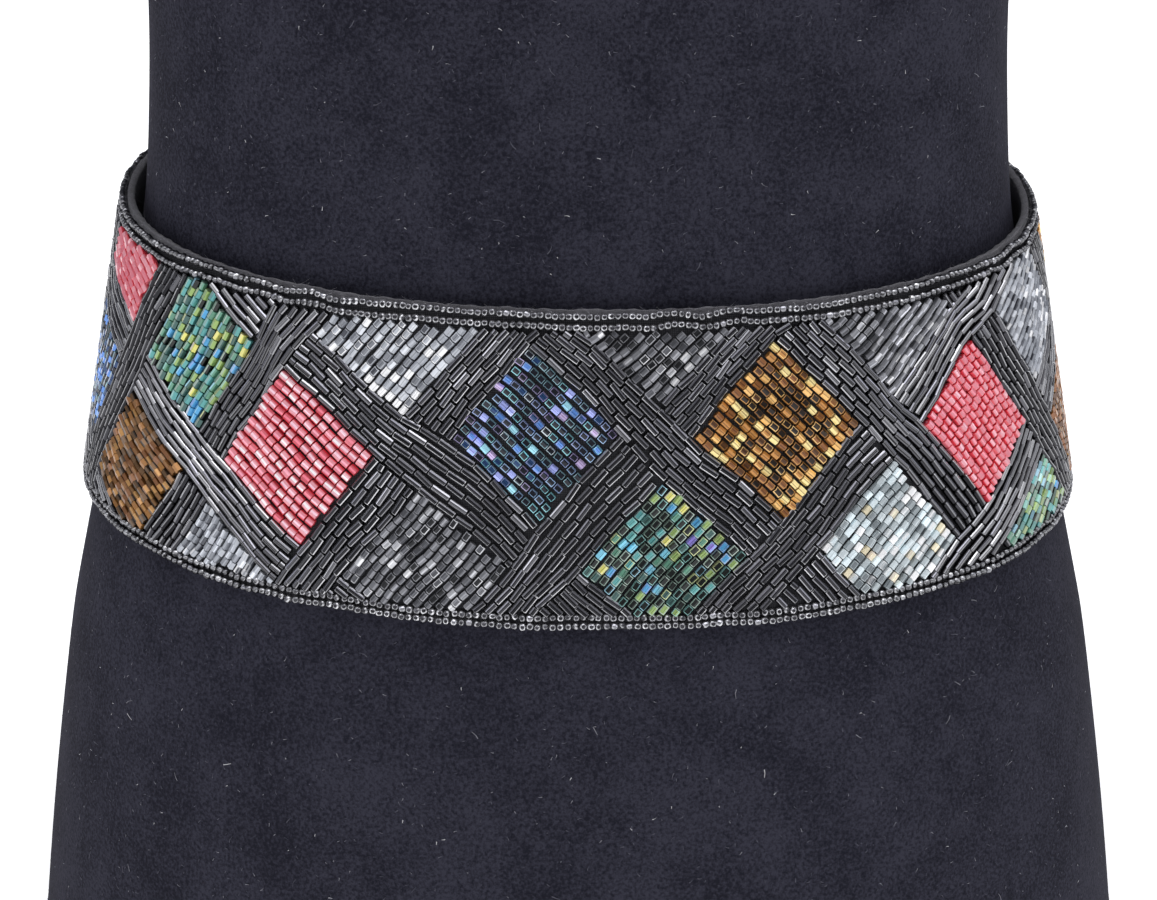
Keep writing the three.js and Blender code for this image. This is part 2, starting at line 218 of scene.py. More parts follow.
RING_ANGLES = np.linspace(0, 2 * np.pi, 7201)
middle_across, middle_forward = ring_direction(RING_ANGLES)
middle_half_width = (LOWER_HALF_WIDTH + UPPER_HALF_WIDTH) / 2
ring_steps = np.hypot(np.diff(middle_across), np.diff(middle_forward) * DEPTH_SHARE)
RING_LENGTHS = np.concatenate([[0], np.cumsum(ring_steps)]) * middle_half_width
ROUND = RING_LENGTHS[-1]
LEFT_END = -(ROUND + LAP) / 2
RIGHT_END = (ROUND + LAP) / 2
FIELD_LEFT = LEFT_END + 2
FIELD_RIGHT = ROUND + LEFT_END - 1.5
LIFTED_FROM = RIGHT_END - ROUND + 5


def belt_axes(along, up):
    """The worn surface's point and outward normal, in millimetres."""
    along, up = np.broadcast_arrays(np.asarray(along, float), np.asarray(up, float))
    angle = np.interp(along % ROUND, RING_LENGTHS, RING_ANGLES)
    across, forward = ring_direction(angle)
    taper = (UPPER_HALF_WIDTH - LOWER_HALF_WIDTH) / BELT_HEIGHT
    half_width = LOWER_HALF_WIDTH + taper * up
    x = half_width * across
    y = -half_width * DEPTH_SHARE * forward
    z = LOWER_EDGE_Z + up - SIDE_LEAN * x + FRONT_DIP * y
    normal_x = signed_power(across, RING_POWER - 1)
    normal_y = -signed_power(forward, RING_POWER - 1) / DEPTH_SHARE
    round_way = np.stack(
        [-normal_y, normal_x, SIDE_LEAN * normal_y + FRONT_DIP * normal_x], axis=-1
    )
    slope_x = taper * across
    slope_y = -taper * DEPTH_SHARE * forward
    upward = np.stack(
        [slope_x, slope_y, 1 - SIDE_LEAN * slope_x + FRONT_DIP * slope_y], axis=-1
    )
    return np.stack([x, y, z], axis=-1), unit(np.cross(round_way, upward))


def belt_point(along, up, out):
    """A point of the worn belt. The left end rises over the right one at the back."""
    place, normal = belt_axes(along, up)
    lift = LAP_LIFT * smooth_step((LIFTED_FROM + LAP_RAMP - np.asarray(along)) / LAP_RAMP)
    return place + normal * (np.asarray(out) + lift)[..., None]


def lattice_place(i, j):
    """A place in the lattice, in steps down its two diagonals, as (along, up)."""
    side, rise = HALF_PITCH * (i + j), RISE * (j - i)
    turn_cos, turn_sin = math.cos(LATTICE_TURN), math.sin(LATTICE_TURN)
    x = side * turn_cos - rise * turn_sin
    y = side * turn_sin + rise * turn_cos
    along = LATTICE_ALONG + ARCH_RADIUS * np.arctan2(x, ARCH_RADIUS - y)
    return along, LATTICE_UP + ARCH_RADIUS - np.hypot(x, ARCH_RADIUS - y)


def side_shift(along, up):
    """Towards the sides the lattice is sewn closer, and more so at the top."""
    left, right = [
        np.interp(along, places, reaches) * (share + rise * (up - SHIFT_HEIGHT))
        for places, reaches, share, rise in (LEFT_SHIFT, RIGHT_SHIFT)
    ]
    return left - right


def sway(along, up, reach, along_length, up_length, start):
    return reach * np.sin(along / along_length + up / up_length + start)


def hand_laid(along, up):
    """Where the hand-sewn beads lie instead of on the even lattice."""
    moved_along = along + side_shift(along, up)
    moved_up = np.array(up, float)
    for place, (by, rise, wide, tall, lean, tilt) in SEWN_ASTRAY.items():
        centre_along, centre_up = lattice_place(*place)
        across, height = along - centre_along, up - centre_up
        reach = np.abs(across) ** ASTRAY_POWER + np.abs(height) ** ASTRAY_POWER
        reach = reach ** (1 / ASTRAY_POWER)
        near = smooth_step((ASTRAY_REACH - reach) / (ASTRAY_REACH - ASTRAY_CORE))
        moved_along = moved_along + near * (by + (wide - 1) * across + lean * height)
        moved_up = moved_up + near * (rise + (tall - 1) * height + tilt * across)
    return moved_along + sway(along, up, *SWAY_ALONG), moved_up + sway(along, up, *SWAY_UP)


def edge_wave(along, height):
    """The seed rows wave a little, and one stretch of the top ones more."""
    phase = 0.2 * height
    slow = 0.25 * np.sin(along / 11.7 + phase) + 0.12 * np.sin(along / 5.3 + phase)
    loose = smooth_step(np.sin(along / 19.0 - 0.2)) * (0.45 if height > BELT_HEIGHT / 2 else 0.2)
    return slow + loose * np.sin(along / 2.8 + phase)


def share_on_field(i, j):
    """The share of a diamond that lies on the bead field, as the solids measure it."""
    steps = (np.arange(FIELD_SAMPLES) + 0.5) / FIELD_SAMPLES - 0.5
    down, across = np.meshgrid(steps * DIAMOND_SHARE, steps * DIAMOND_SHARE)
    along, up = lattice_place(i + down, j + across)
    inside = (up > FIELD_LOWER) & (up < FIELD_UPPER)
    inside &= (along > FIELD_LEFT) & (along < FIELD_RIGHT)
    return inside.mean()


def diamond_colour(i, j):
    if (i, j) in OWN_COLOURS:
        return OWN_COLOURS[i, j]
    return COLUMN_COLOURS[j % 3] if (j - i) % 2 == 0 else ROW_COLOURS[i % 3]


def lattice_cells():
    """Every cell of the lattice that touches the field: (i, j, colour or None for black)."""
    cells = []
    for i in LATTICE_LINES:
        for j in LATTICE_LINES:
            share = share_on_field(i, j)
            whole = share >= SMALLEST_DIAMOND
            whole = whole and lattice_place(i, j)[0] > FIELD_LEFT + PLAIN_END
            if share > 0:
                cells.append((i, j, diamond_colour(i, j) if whole else None))
    return cells


def form_value(column, z):
    """A column of the form's table at heights z, smooth through its rows."""
    at = FORM_COLUMNS.index(column)
    rows = np.array(FORM_SECTIONS, float)
    heights, values = rows[:, 0], rows[:, at]
    before = np.maximum(np.arange(len(rows)) - 1, 0)
    after = np.minimum(np.arange(len(rows)) + 1, len(rows) - 1)
    slopes = (values[after] - values[before]) / (heights[after] - heights[before])
    low = np.clip(np.searchsorted(heights, z, side="right") - 1, 0, len(rows) - 2)
    step = heights[low + 1] - heights[low]
    t = (z - heights[low]) / step
    return (
        (2 * t**3 - 3 * t**2 + 1) * values[low]
        + (t**3 - 2 * t**2 + t) * step * slopes[low]
        + (3 * t**2 - 2 * t**3) * values[low + 1]
        + (t**3 - t**2) * step * slopes[low + 1]
    )


def form_point(angle, z):
    """A point of the dress form's surface, in millimetres."""
    across, forward = ring_direction(angle)
    x = form_value("half_width", z) * across
    y = -np.where(forward > 0, form_value("front", z), form_value("back", z)) * forward
    lean = form_value("lean", z)
    return np.stack([x, y, z + lean * (FRONT_DIP * y - SIDE_LEAN * x)], axis=-1)


def add_mesh(name, points, faces, finish, smooth=True):
    """A mesh object from points in millimetres."""
    mesh = bpy.data.meshes.new(name)
    mesh.from_pydata((np.asarray(points) * MM).tolist(), [], faces)
    mesh.polygons.foreach_set("use_smooth", [smooth] * len(mesh.polygons))
    mesh.materials.append(finish)
    mesh.update()
    piece = bpy.data.objects.new(name, mesh)
    bpy.context.scene.collection.objects.link(piece)
    return piece


def ring_faces(rings, sides):
    """Quads between rings of points, each ring closed."""
    ring, side = np.meshgrid(np.arange(rings - 1), np.arange(sides), indexing="ij")
    a = (ring * sides + side).ravel()
    b = (ring * sides + (side + 1) % sides).ravel()
    return np.stack([a, b, b + sides, a + sides], axis=1)


def seat(piece, slot, *nodes):
    """The piece moves with the root body, and stands for these nodes, which it hides. The slot is
    not used.
    """
    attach(piece, "root")
    if nodes:
        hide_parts(*nodes)
    return piece


def bead_shape(sides, profile, hole_depth):
    """A bead of unit length and radius along X: rings of (x, radius), and its two holes."""
    turns = np.arange(sides) * 2 * np.pi / sides
    rings = [
        np.stack([np.full(sides, x), r * np.cos(turns), r * np.sin(turns)], axis=1)
        for x, r in profile
    ]
    points = np.concatenate([*rings, [[profile[0][0] + hole_depth, 0, 0]]])
    points = np.concatenate([points, [[profile[-1][0] - hole_depth, 0, 0]]])
    quads = ring_faces(len(profile), sides)
    first, last = len(points) - 2, len(points) - 1
    side = np.arange(sides)
    following = (side + 1) % sides
    start = (len(profile) - 1) * sides
    holes = np.concatenate(
        [
            np.stack([following, side, np.full(sides, first)], axis=1),
            np.stack([start + side, start + following, np.full(sides, last)], axis=1),
        ]
    )
    ring_of_point = np.repeat(np.arange(len(profile)), sides)
    ring_of_point = np.concatenate([ring_of_point, [-1, -1]])
    return {"points": points, "quads": quads[:, ::-1], "holes": holes, "rings": ring_of_point}


BUGLE_SHARP_RINGS = (1, 2, 3, 4)
BUGLE = bead_shape(
    8, ((-0.5, 0.42), (-0.5, 0.88), (-0.485, 1), (0.485, 1), (0.5, 0.88), (0.5, 0.42)), 0.06
)
CUT_BEAD = bead_shape(
    6, ((-0.5, 0.4), (-0.5, 0.9), (-0.475, 1), (0.475, 1), (0.5, 0.9), (0.5, 0.4)), 0.1
)
SEED_BEAD = bead_shape(
    8, ((-0.46, 0.4), (-0.5, 0.66), (-0.28, 1), (0.28, 1), (0.5, 0.66), (0.46, 0.4)), 0.15
)


def threads(i, j, down, across, out):
    """Beads at lattice places, on threads that run one way: their centres and axes."""
    ends = []
    for step in (-0.02, 0.02):
        place = hand_laid(*lattice_place(i + step * down, j + step * across))
        ends.append(belt_point(*place, out))
    along, up = hand_laid(*lattice_place(i, j))
    normal = belt_axes(along, up)[1]
    heading = unit(ends[1] - ends[0])
    return {
        "along": along,
        "up": up,
        "centre": (ends[0] + ends[1]) / 2,
        "heading": heading,
        "normal": unit(normal - heading * np.sum(normal * heading, axis=1, keepdims=True)),
    }


def waver(beads, reach, phase):
    """A row of beads isn't sewn straight: it sways by two tenths of a millimetre."""
    side = np.cross(beads["normal"], beads["heading"])
    for sway, length, share in ((0.2, 27.0, 1.0), (0.07, 9.3, 2.7)):
        turn = 2 * np.pi * reach / length + phase * share
        beads["centre"] = beads["centre"] + side * (sway * np.sin(turn))[:, None]
        lean = sway * 2 * np.pi / length * np.cos(turn)
        beads["heading"] = unit(beads["heading"] + side * lean[:, None])
    return beads


def join_beads(lots):
    return {key: np.concatenate([lot[key] for lot in lots]) for key in lots[0]}


def kept_beads(beads, kept):
    return {key: value[kept] for key, value in beads.items()}


def trim_to_field(beads):
    """Beads that cross the edge of the field are shorter ones, or left out."""
    up_share = beads["heading"][:, 2]
    half = beads["length"] / 2
    reach = np.where(np.abs(up_share) < 0.05, 0.05, up_share) * half
    to_lower = (BEADS_LOWER - beads["up"]) / reach
    to_upper = (BEADS_UPPER - beads["up"]) / reach
    low = np.maximum(-1, np.minimum(to_lower, to_upper))
    high = np.minimum(1, np.maximum(to_lower, to_upper))
    share = (high - low) / 2
    beads["centre"] = beads["centre"] + beads["heading"] * (half * (low + high) / 2)[:, None]
    beads["length"] = beads["length"] * np.clip(share, 0.05, 1)
    inside = beads["along"] > FIELD_LEFT + END_MARGIN
    inside &= beads["along"] < FIELD_RIGHT - END_MARGIN
    return kept_beads(beads, inside & (beads["length"] > SHORTEST_BEAD))


BEAD_TILTS = (1.8, 1.0)  # degrees, out from the cloth and along it
BEAD_SPREAD = 0.04  # of a bead's size


def scatter_beads(name, shape, beads, finish, rng, sharp_rings=None):
    """One mesh with a bead at each place, each a little astray and with its own tone.

    The beads are faceted, or smooth between the rings that stay sharp.
    """
    count = len(beads["length"])
    tilt = np.radians(rng.normal(0, BEAD_TILTS, (count, 2)))
    roll = beads["roll"]
    heading = unit(
        beads["heading"]
        + tilt[:, :1] * beads["normal"]
        + tilt[:, 1:] * np.cross(beads["normal"], beads["heading"])
    )
    side = unit(np.cross(beads["normal"], heading))
    outward = np.cross(heading, side)
    centre = beads["centre"] + beads["normal"] * rng.normal(0, 0.05, count)[:, None]
    turned_side = side * np.cos(roll)[:, None] + outward * np.sin(roll)[:, None]
    turned_out = outward * np.cos(roll)[:, None] - side * np.sin(roll)[:, None]
    local = shape["points"]
    points = (
        centre[:, None, :]
        + heading[:, None, :] * (local[None, :, :1] * beads["length"][:, None, None])
        + turned_side[:, None, :] * (local[None, :, 1:2] * beads["radius"][:, None, None])
        + turned_out[:, None, :] * (local[None, :, 2:3] * beads["radius"][:, None, None])
    ).reshape(-1, 3)
    offsets = np.arange(count)[:, None, None] * len(local)
    quads = (shape["quads"][None] + offsets).reshape(-1, 4)
    holes = (shape["holes"][None] + offsets).reshape(-1, 3)
    faces = quads.tolist() + holes.tolist()
    piece = add_mesh(name, points, faces, finish, sharp_rings is not None)
    mesh = piece.data
    if sharp_rings:
        rings = np.tile(shape["rings"], count)
        edges = np.zeros(len(mesh.edges) * 2, np.int64)
        mesh.edges.foreach_get("vertices", edges)
        first, second = rings[edges.reshape(-1, 2)].T
        sharp = (first == second) & np.isin(first, sharp_rings)
        mesh.attributes.new("sharp_edge", "BOOLEAN", "EDGE").data.foreach_set("value", sharp)
    least, most = beads.get("least_tone", 0), beads.get("most_tone", 1)
    tone = np.clip(least + (most - least) * rng.random(count), 0, 0.999)
    # 1 on the front, and down to 0 at the sides: the painted highlight lines show on the front, and
    # give way to a soft painted highlight at the sides.
    front = np.clip((SIDES_FROM - np.abs(beads["along"])) / (SIDES_FROM - FRONT_TO), 0, 1)
    for key, values in (("tone", tone), ("spark", rng.random(count)), ("front", front)):
        layer = mesh.attributes.new(key, "FLOAT", "POINT")
        layer.data.foreach_set("value", np.repeat(values, len(local)).astype(np.float32))
    # Where each point is on its bead: from end to end, from its lower side to its upper one,
    # and outward, each -1 to 1.
    # Lower to upper, so that a painted highlight band can sit on each bead's upper side, where
    # light from above falls.
    upward = np.where(side[:, 2] < 0, -1, 1)[:, None]
    cosine, sine = np.cos(roll)[:, None], np.sin(roll)[:, None]
    spot = np.empty((count, len(local), 3), np.float32)
    spot[..., 0] = 2 * local[None, :, 0]
    spot[..., 1] = (local[:, 1] * cosine - local[:, 2] * sine) * upward
    spot[..., 2] = local[:, 1] * sine + local[:, 2] * cosine
    layer = mesh.attributes.new("spot", "FLOAT_VECTOR", "POINT")
    layer.data.foreach_set("vector", spot.ravel())
    return piece


ROW_STAGGER = (0.6, 1.1)  # mm: how far a diamond's rows start off each other, and at most
CUT_BEAD_GAP = 0.17


def fill_diamond(i, j, rng, rows, in_row, radius):
    """Rows of beads that fill one diamond: down the lattice in its own row, else up it."""
    side = DIAMOND_SHARE * LATTICE_STEP
    row, bead = np.meshgrid(np.arange(rows), np.arange(in_row), indexing="ij")
    row_place = ((row + 0.5) / rows - 0.5).ravel() * DIAMOND_SHARE
    spread, most_off = ROW_STAGGER
    stagger = np.clip(rng.normal(0, spread, rows), -most_off, most_off)
    stagger = stagger[row].ravel() / LATTICE_STEP
    bead_place = ((bead + 0.5) / in_row - 0.5).ravel() * DIAMOND_SHARE
    from_middle = np.maximum(np.abs(row_place), np.abs(bead_place)) / (DIAMOND_SHARE / 2)
    bead_place = bead_place + stagger
    phases = (rng.random(rows) * 2.2 + rng.random() * 6)[row].ravel()
    count = row_place.size
    ones, zeros = np.ones(count), np.zeros(count)
    if (j - i) % 2 == 0:
        beads = threads(i + bead_place, j + row_place, ones, zeros, radius)
    else:
        beads = threads(i + row_place, j + bead_place, zeros, ones, radius)
    beads = waver(beads, bead_place * LATTICE_STEP, phases)
    least, rise, most = TONE_SPANS.get((i, j), (0, 0, 1))
    beads["least_tone"] = np.clip(least + rise * (from_middle - 0.6), -0.5, 0.9)
    beads["most_tone"] = np.full(count, float(most))
    length = side / in_row - CUT_BEAD_GAP
    beads["length"] = np.full(count, length) * rng.normal(1, BEAD_SPREAD, count)
    beads["radius"] = np.full(count, radius) * rng.normal(1, BEAD_SPREAD, count)
    return beads


def crossing_runs_down(i, j):
    """Which beads fill the crossing past diamond i, j: those that run down at mid height."""
    lowest, highest = MIDDLE_CROSSINGS
    return (i, j) not in UP_CROSSINGS and lowest < lattice_place(i + 0.5, j + 0.5)[1] < highest


def strip_runs(line, runs_down):
    """Where the beads of one strip run without a break, as lattice places from and to."""
    half = DIAMOND_SHARE / 2
    runs = []
    for cell in LATTICE_LINES:
        crossing = (cell - 1, line) if runs_down else (line, cell - 1)
        if runs and crossing_runs_down(*crossing) == runs_down:
            runs[-1][1] = cell + half
        else:
            runs.append([cell - half, cell + half])
    return runs


def fill_strip(line, runs_down, rng, sizes):
    """Bugles along the strip past one line of diamonds, down the lattice or up it."""
    rows = round((1 - DIAMOND_SHARE) * LATTICE_STEP / sizes.bugle_pitch)
    length = sizes.bugle_length / LATTICE_STEP
    step = length + BUGLE_GAP / LATTICE_STEP
    end_gap = STRIP_END_GAP / LATTICE_STEP
    lots = []
    for first, last in strip_runs(line, runs_down):
        for row in range(rows):
            across = line + DIAMOND_SHARE / 2 + (row + 0.5) / rows * (1 - DIAMOND_SHARE)
            # Like bricks, each row starts off step with the last, and its ends are cut to fit.
            phase = 0.5 * (row % 2) + rng.uniform(-0.2, 0.2)
            starts = np.arange(first - step * (1 + phase), last, step)
            low = np.maximum(starts, first + end_gap)
            high = np.minimum(starts + length, last - end_gap)
            fits = (high - low) * LATTICE_STEP > SHORTEST_BUGLE
            forward = (low[fits] + high[fits]) / 2
            count = forward.size
            sideways = np.full(count, across) + rng.normal(0, 0.06, count) / LATTICE_STEP
            ones, zeros = np.ones(count), np.zeros(count)
            if runs_down:
                beads = threads(forward, sideways, ones, zeros, sizes.bugle_radius)
            else:
                beads = threads(sideways, forward, zeros, ones, sizes.bugle_radius)
            beads["length"] = (high[fits] - low[fits]) * LATTICE_STEP
            lots.append(waver(beads, forward * LATTICE_STEP, row * 0.4 + rng.random()))
    beads = join_beads(lots)
    return kept_beads(beads, (beads["up"] > -NEAR_BELT) & (beads["up"] < BELT_HEIGHT + NEAR_BELT))


def bugle_sizes(beads, rng, sizes):
    """No two bugles are quite the same: each gets its own length, thickness and roll."""
    count = len(beads["along"])
    beads["length"] = beads["length"] * rng.normal(1, BEAD_SPREAD / 2, count)
    beads["radius"] = sizes.bugle_radius * rng.normal(1, BEAD_SPREAD, count)
    beads["roll"] = rng.normal(0, 0.12, count)
    return trim_to_field(beads)


def add_strands(name, roots, ways, normals, lengths, width, finish, rng):
    """Thin flat fibres that curl as they leave their roots, each with its own tone."""
    count = len(roots)
    sides = unit(np.cross(normals, ways))
    curl = rng.normal(0, 0.5, count)[:, None]
    steps = np.linspace(0, 1, 4)
    rows = []
    for step in steps:
        bend = sides * curl * step**2 - normals * 0.15 * step**2
        middle = roots + (ways * step + bend) * lengths[:, None]
        half = sides * (width / 2) * (1 - 0.6 * step)
        rows.append(np.stack([middle - half, middle + half], axis=1))
    points = np.stack(rows, axis=1).reshape(-1, 3)
    strip = np.array([(0, 1, 3, 2), (2, 3, 5, 4), (4, 5, 7, 6)])
    faces = (strip[None] + np.arange(count)[:, None, None] * 8).reshape(-1, 4)
    piece = add_mesh(name, points, faces.tolist(), finish)
    layer = piece.data.attributes.new("tone", "FLOAT", "POINT")
    layer.data.foreach_set("value", np.repeat(rng.random(count), 8).astype(np.float32))
    return piece


def sweep_band(section, left, right, step=2.0, ragged=0.0):
    """A closed section of (up, out) corners, drawn along the belt: its points and faces."""
    count = max(2, round((right - left) / step))
    along = np.linspace(left, right, count + 1)
    up, out = np.array(section, float).T
    cut = ragged * (np.sin(along / 1.9) + np.sin(along / 0.83 + 1) + 0.7 * np.sin(along / 4.7)) / 2
    near_top = np.clip((up - up.max() + 2) / 2, 0, 1)
    up = up[None, :] + cut[:, None] * near_top[None, :]
    points = belt_point(along[:, None], up, np.broadcast_to(out, up.shape))
    corners = out.size
    faces = ring_faces(count + 1, corners).tolist()
    faces.append(list(range(corners))[::-1])
    faces.append([count * corners + corner for corner in range(corners)])
    return points.reshape(-1, 3), faces


SOFT_EDGE_SHARE = 0.3  # of a cloth's thickness


def rounded_edge_section(lower, upper, inner, outer, rows):
    """A cloth wall's section with softened edges and rows of points up its two faces."""
    soft = (outer - inner) * SOFT_EDGE_SHARE
    heights = np.linspace(lower + soft, upper - soft, rows)
    face_in = [(height, inner) for height in heights]
    face_out = [(height, outer) for height in heights[::-1]]
    top = [(upper, inner + soft), (upper, outer - soft)]
    bottom = [(lower, outer - soft), (lower, inner + soft)]
    return face_in + top + face_out + bottom


def add_node(tree, kind, values=None, links=None, **settings):
    """Adds a node with its settings, its sockets' values, and links from other sockets."""
    node = tree.nodes.new(kind)
    for key, value in settings.items():
        setattr(node, key, value)
    for socket, value in (values or {}).items():
        node.inputs[socket].default_value = value
    for socket, source in (links or {}).items():
        tree.links.new(source, node.inputs[socket])
    return node


def new_finish(name):
    """An empty node material and its tree."""
    finish = bpy.data.materials.new(name)
    finish.use_nodes = True
    finish.node_tree.nodes.clear()
    return finish, finish.node_tree


def set_ramp(node, stops, interpolation="LINEAR"):
    """Colours on a ramp: a list of (place, hex colour)."""
    ramp = node.color_ramp
    ramp.interpolation = interpolation
    while len(ramp.elements) < len(stops):
        ramp.elements.new(0.5)
    for element, (place, colour) in zip(ramp.elements, stops):
        element.position = place
        element.color = (*hex_to_linear(colour), 1)


def finish_output(tree, shader):
    add_node(tree, "ShaderNodeOutputMaterial", links={"Surface": shader})


def bead_tones(tree, attribute, stops):
    """A colour for each bead, picked by an attribute from the tones in stops."""
    value = add_node(tree, "ShaderNodeAttribute", attribute_name=attribute)
    ramp = add_node(tree, "ShaderNodeValToRGB", links={"Fac": value.outputs["Fac"]})
    set_ramp(ramp, stops, "CONSTANT")
    return ramp.outputs["Color"]


def soft_step(tree, source, starts, ends):
    """0 where the source is at starts, and 1 from ends on."""
    return add_node(
        tree,
        "ShaderNodeMapRange",
        interpolation_type="SMOOTHSTEP",
        values={"From Min": starts, "From Max": ends},
        links={"Value": source},
    ).outputs["Result"]


def painted_line_share(tree, spot, across, along, is_round):
    """A thin painted line round the top of each bead, inside its edges: 1 on it, and 0 beside it.
    Mostly it is a painted highlight, the light that a bead's edges catch.

    Across and along are each where the line's middle is and half its width. A bead is looked
    down on, so the line is a little up its side, to be seen in its middle.
    """
    raised = add_node(
        tree,
        "ShaderNodeVectorMath",
        operation="SUBTRACT",
        values={1: (0, LINE_RAISE, 0)},
        links={0: spot},
    )
    away = add_node(
        tree, "ShaderNodeVectorMath", operation="ABSOLUTE", links={0: raised.outputs["Vector"]}
    )
    if is_round:
        flat = add_node(
            tree,
            "ShaderNodeVectorMath",
            operation="MULTIPLY",
            values={1: (1 / along[0], 1 / across[0], 0)},
            links={0: away.outputs["Vector"]},
        )
        reach = add_node(
            tree, "ShaderNodeVectorMath", operation="LENGTH", links={0: flat.outputs["Vector"]}
        )
        half_widths = across[0] / across[1]
        off = add_node(
            tree,
            "ShaderNodeMath",
            operation="MULTIPLY_ADD",
            values={1: half_widths, 2: -half_widths},
            links={0: reach.outputs["Value"]},
        )
    else:
        scaled = add_node(
            tree,
            "ShaderNodeVectorMath",
            operation="MULTIPLY_ADD",
            values={
                1: (1 / along[1], 1 / across[1], 0),
                2: (-along[0] / along[1], -across[0] / across[1], 0),
            },
            links={0: away.outputs["Vector"]},
        )
        parts = add_node(tree, "ShaderNodeSeparateXYZ", links={0: scaled.outputs["Vector"]})
        off = add_node(
            tree,
            "ShaderNodeMath",
            operation="MAXIMUM",
            links={0: parts.outputs["X"], 1: parts.outputs["Y"]},
        )
    beside = add_node(tree, "ShaderNodeMath", operation="ABSOLUTE", links={0: off.outputs["Value"]})
    return soft_step(tree, beside.outputs["Value"], 1.3, 0.6)


def painted_band_share(tree, spot, lowest, highest, half_width):
    """A band along each bead, at a height of its own, for a painted highlight or a painted shade
    line: 1 on it, and 0 beside it.
    """
    spark = add_node(tree, "ShaderNodeAttribute", attribute_name="spark")
    place = add_node(
        tree,
        "ShaderNodeMath",
        operation="MULTIPLY_ADD",
        values={1: highest - lowest, 2: lowest},
        links={0: spark.outputs["Fac"]},
    )
    parts = add_node(tree, "ShaderNodeSeparateXYZ", links={0: spot})
    beside = add_node(
        tree,
        "ShaderNodeMath",
        operation="SUBTRACT",
        links={0: parts.outputs["Y"], 1: place.outputs["Value"]},
    )
    away = add_node(
        tree, "ShaderNodeMath", operation="ABSOLUTE", links={0: beside.outputs["Value"]}
    )
    return soft_step(tree, away.outputs["Value"], half_width * 1.3, half_width * 0.7)


def coated_glass_finish(name, middle, painted_line_tones, metallic, roughness, coat, line, band):
    """Coated glass beads, with a painted line round the top of each and a painted band along it.

    The line is given as the painted line's share takes it, then how it is blended: lightened in, it
    is a painted highlight, and mixed in on the red beads, it is their own red deepened as painted
    shade at the edges. The band is how strong the colour is beside it and on it, where it is, and
    its half width: brighter on it, it is a painted highlight, and darker, a line where the hole
    shows through, deepened as painted shade between lit facets.
    """
    finish, tree = new_finish(name)
    spot = add_node(tree, "ShaderNodeAttribute", attribute_name="spot").outputs["Vector"]
    beside, on_it, *place = band
    *line_place, blend = line
    front = add_node(tree, "ShaderNodeAttribute", attribute_name="front").outputs["Fac"]
    band_here = add_node(
        tree,
        "ShaderNodeMath",
        operation="MULTIPLY",
        links={0: painted_band_share(tree, spot, *place), 1: soft_step(tree, front, *BAND_FADE)},
    )
    # The painted highlight line fades out towards the belt's sides, and there a lightened line's
    # painted band gleams brighter.
    on_front = soft_step(tree, front, *LINE_FADE)
    gleam = add_node(
        tree,
        "ShaderNodeMapRange",
        values={"To Min": on_it * (SIDE_GLEAM if blend == "LIGHTEN" else 1), "To Max": on_it},
        links={"Value": on_front},
    )
    strength = add_node(
        tree,
        "ShaderNodeMapRange",
        values={"To Min": beside},
        links={"Value": band_here.outputs["Value"], "To Max": gleam.outputs["Result"]},
    )
    line_share = painted_line_share(tree, spot, *line_place)
    # Towards the sides, a soft painted highlight along each bead takes the painted line's place.
    if blend == "LIGHTEN":
        side_band = add_node(
            tree,
            "ShaderNodeMath",
            operation="MULTIPLY",
            values={1: 1 - SIDE_LIGHT_SHARE},
            links={0: band_here.outputs["Value"]},
        )
        side_light = add_node(
            tree,
            "ShaderNodeMath",
            operation="MULTIPLY_ADD",
            values={1: SIDE_LIGHT_SHARE},
            links={0: painted_band_share(tree, spot, *SIDE_LIGHT), 2: side_band.outputs["Value"]},
        )
        line_share = add_node(
            tree,
            "ShaderNodeMix",
            data_type="FLOAT",
            links={0: on_front, 2: side_light.outputs["Value"], 3: line_share},
        ).outputs[0]
    # The bead's tone, brightened on its band as a painted highlight, or darkened there as a painted
    # shade line.
    tone_with_painted_band = add_node(
        tree,
        "ShaderNodeVectorMath",
        operation="SCALE",
        links={0: bead_tones(tree, "tone", middle), "Scale": strength.outputs["Result"]},
    )
    # The painted line over the tone: lightened in as a painted highlight, or mixed in as the red
    # beads' painted shade at their edges.
    colour = add_node(
        tree,
        "ShaderNodeMix",
        data_type="RGBA",
        blend_type=blend,
        clamp_result=True,
        links={
            0: line_share,
            6: tone_with_painted_band.outputs["Vector"],
            7: bead_tones(tree, "spark", painted_line_tones),
        },
    )
    where = add_node(tree, "ShaderNodeTexCoord")
    # Moulding marks on the glass, 0.7 mm apart.
    marks = add_node(
        tree,
        "ShaderNodeTexNoise",
        values={"Scale": 1 / (0.7 * MM), "Detail": 1.0},
        links={"Vector": where.outputs["Object"]},
    )
    bump = add_node(
        tree,
        "ShaderNodeBump",
        values={"Strength": 0.2, "Distance": 0.05 * MM},
        links={"Height": marks.outputs["Fac"]},
    )
    shader = add_node(
        tree,
        "ShaderNodeBsdfPrincipled",
        values={
            "Metallic": metallic,
            "Roughness": roughness,
            "Coat Weight": coat,
            "Coat Roughness": 0.08,
            "IOR": 1.5,
        },
        links={"Base Color": colour.outputs[2], "Normal": bump.outputs["Normal"]},
    )
    finish_output(tree, shader.outputs["BSDF"])
    return finish


def cloth_shader(tree, tone, stops, height, strength, depth_mm, looks):
    """The last nodes of a cloth's finish: its tones, its low relief, and how it shines."""
    ramp = add_node(tree, "ShaderNodeValToRGB", links={"Fac": tone})
    set_ramp(ramp, stops)
    bump = add_node(
        tree,
        "ShaderNodeBump",
        values={"Strength": strength, "Distance": depth_mm * MM},
        links={"Height": height},
    )
    shader = add_node(
        tree,
        "ShaderNodeBsdfPrincipled",
        values=looks,
        links={"Base Color": ramp.outputs["Color"], "Normal": bump.outputs["Normal"]},
    )
    finish_output(tree, shader.outputs["BSDF"])


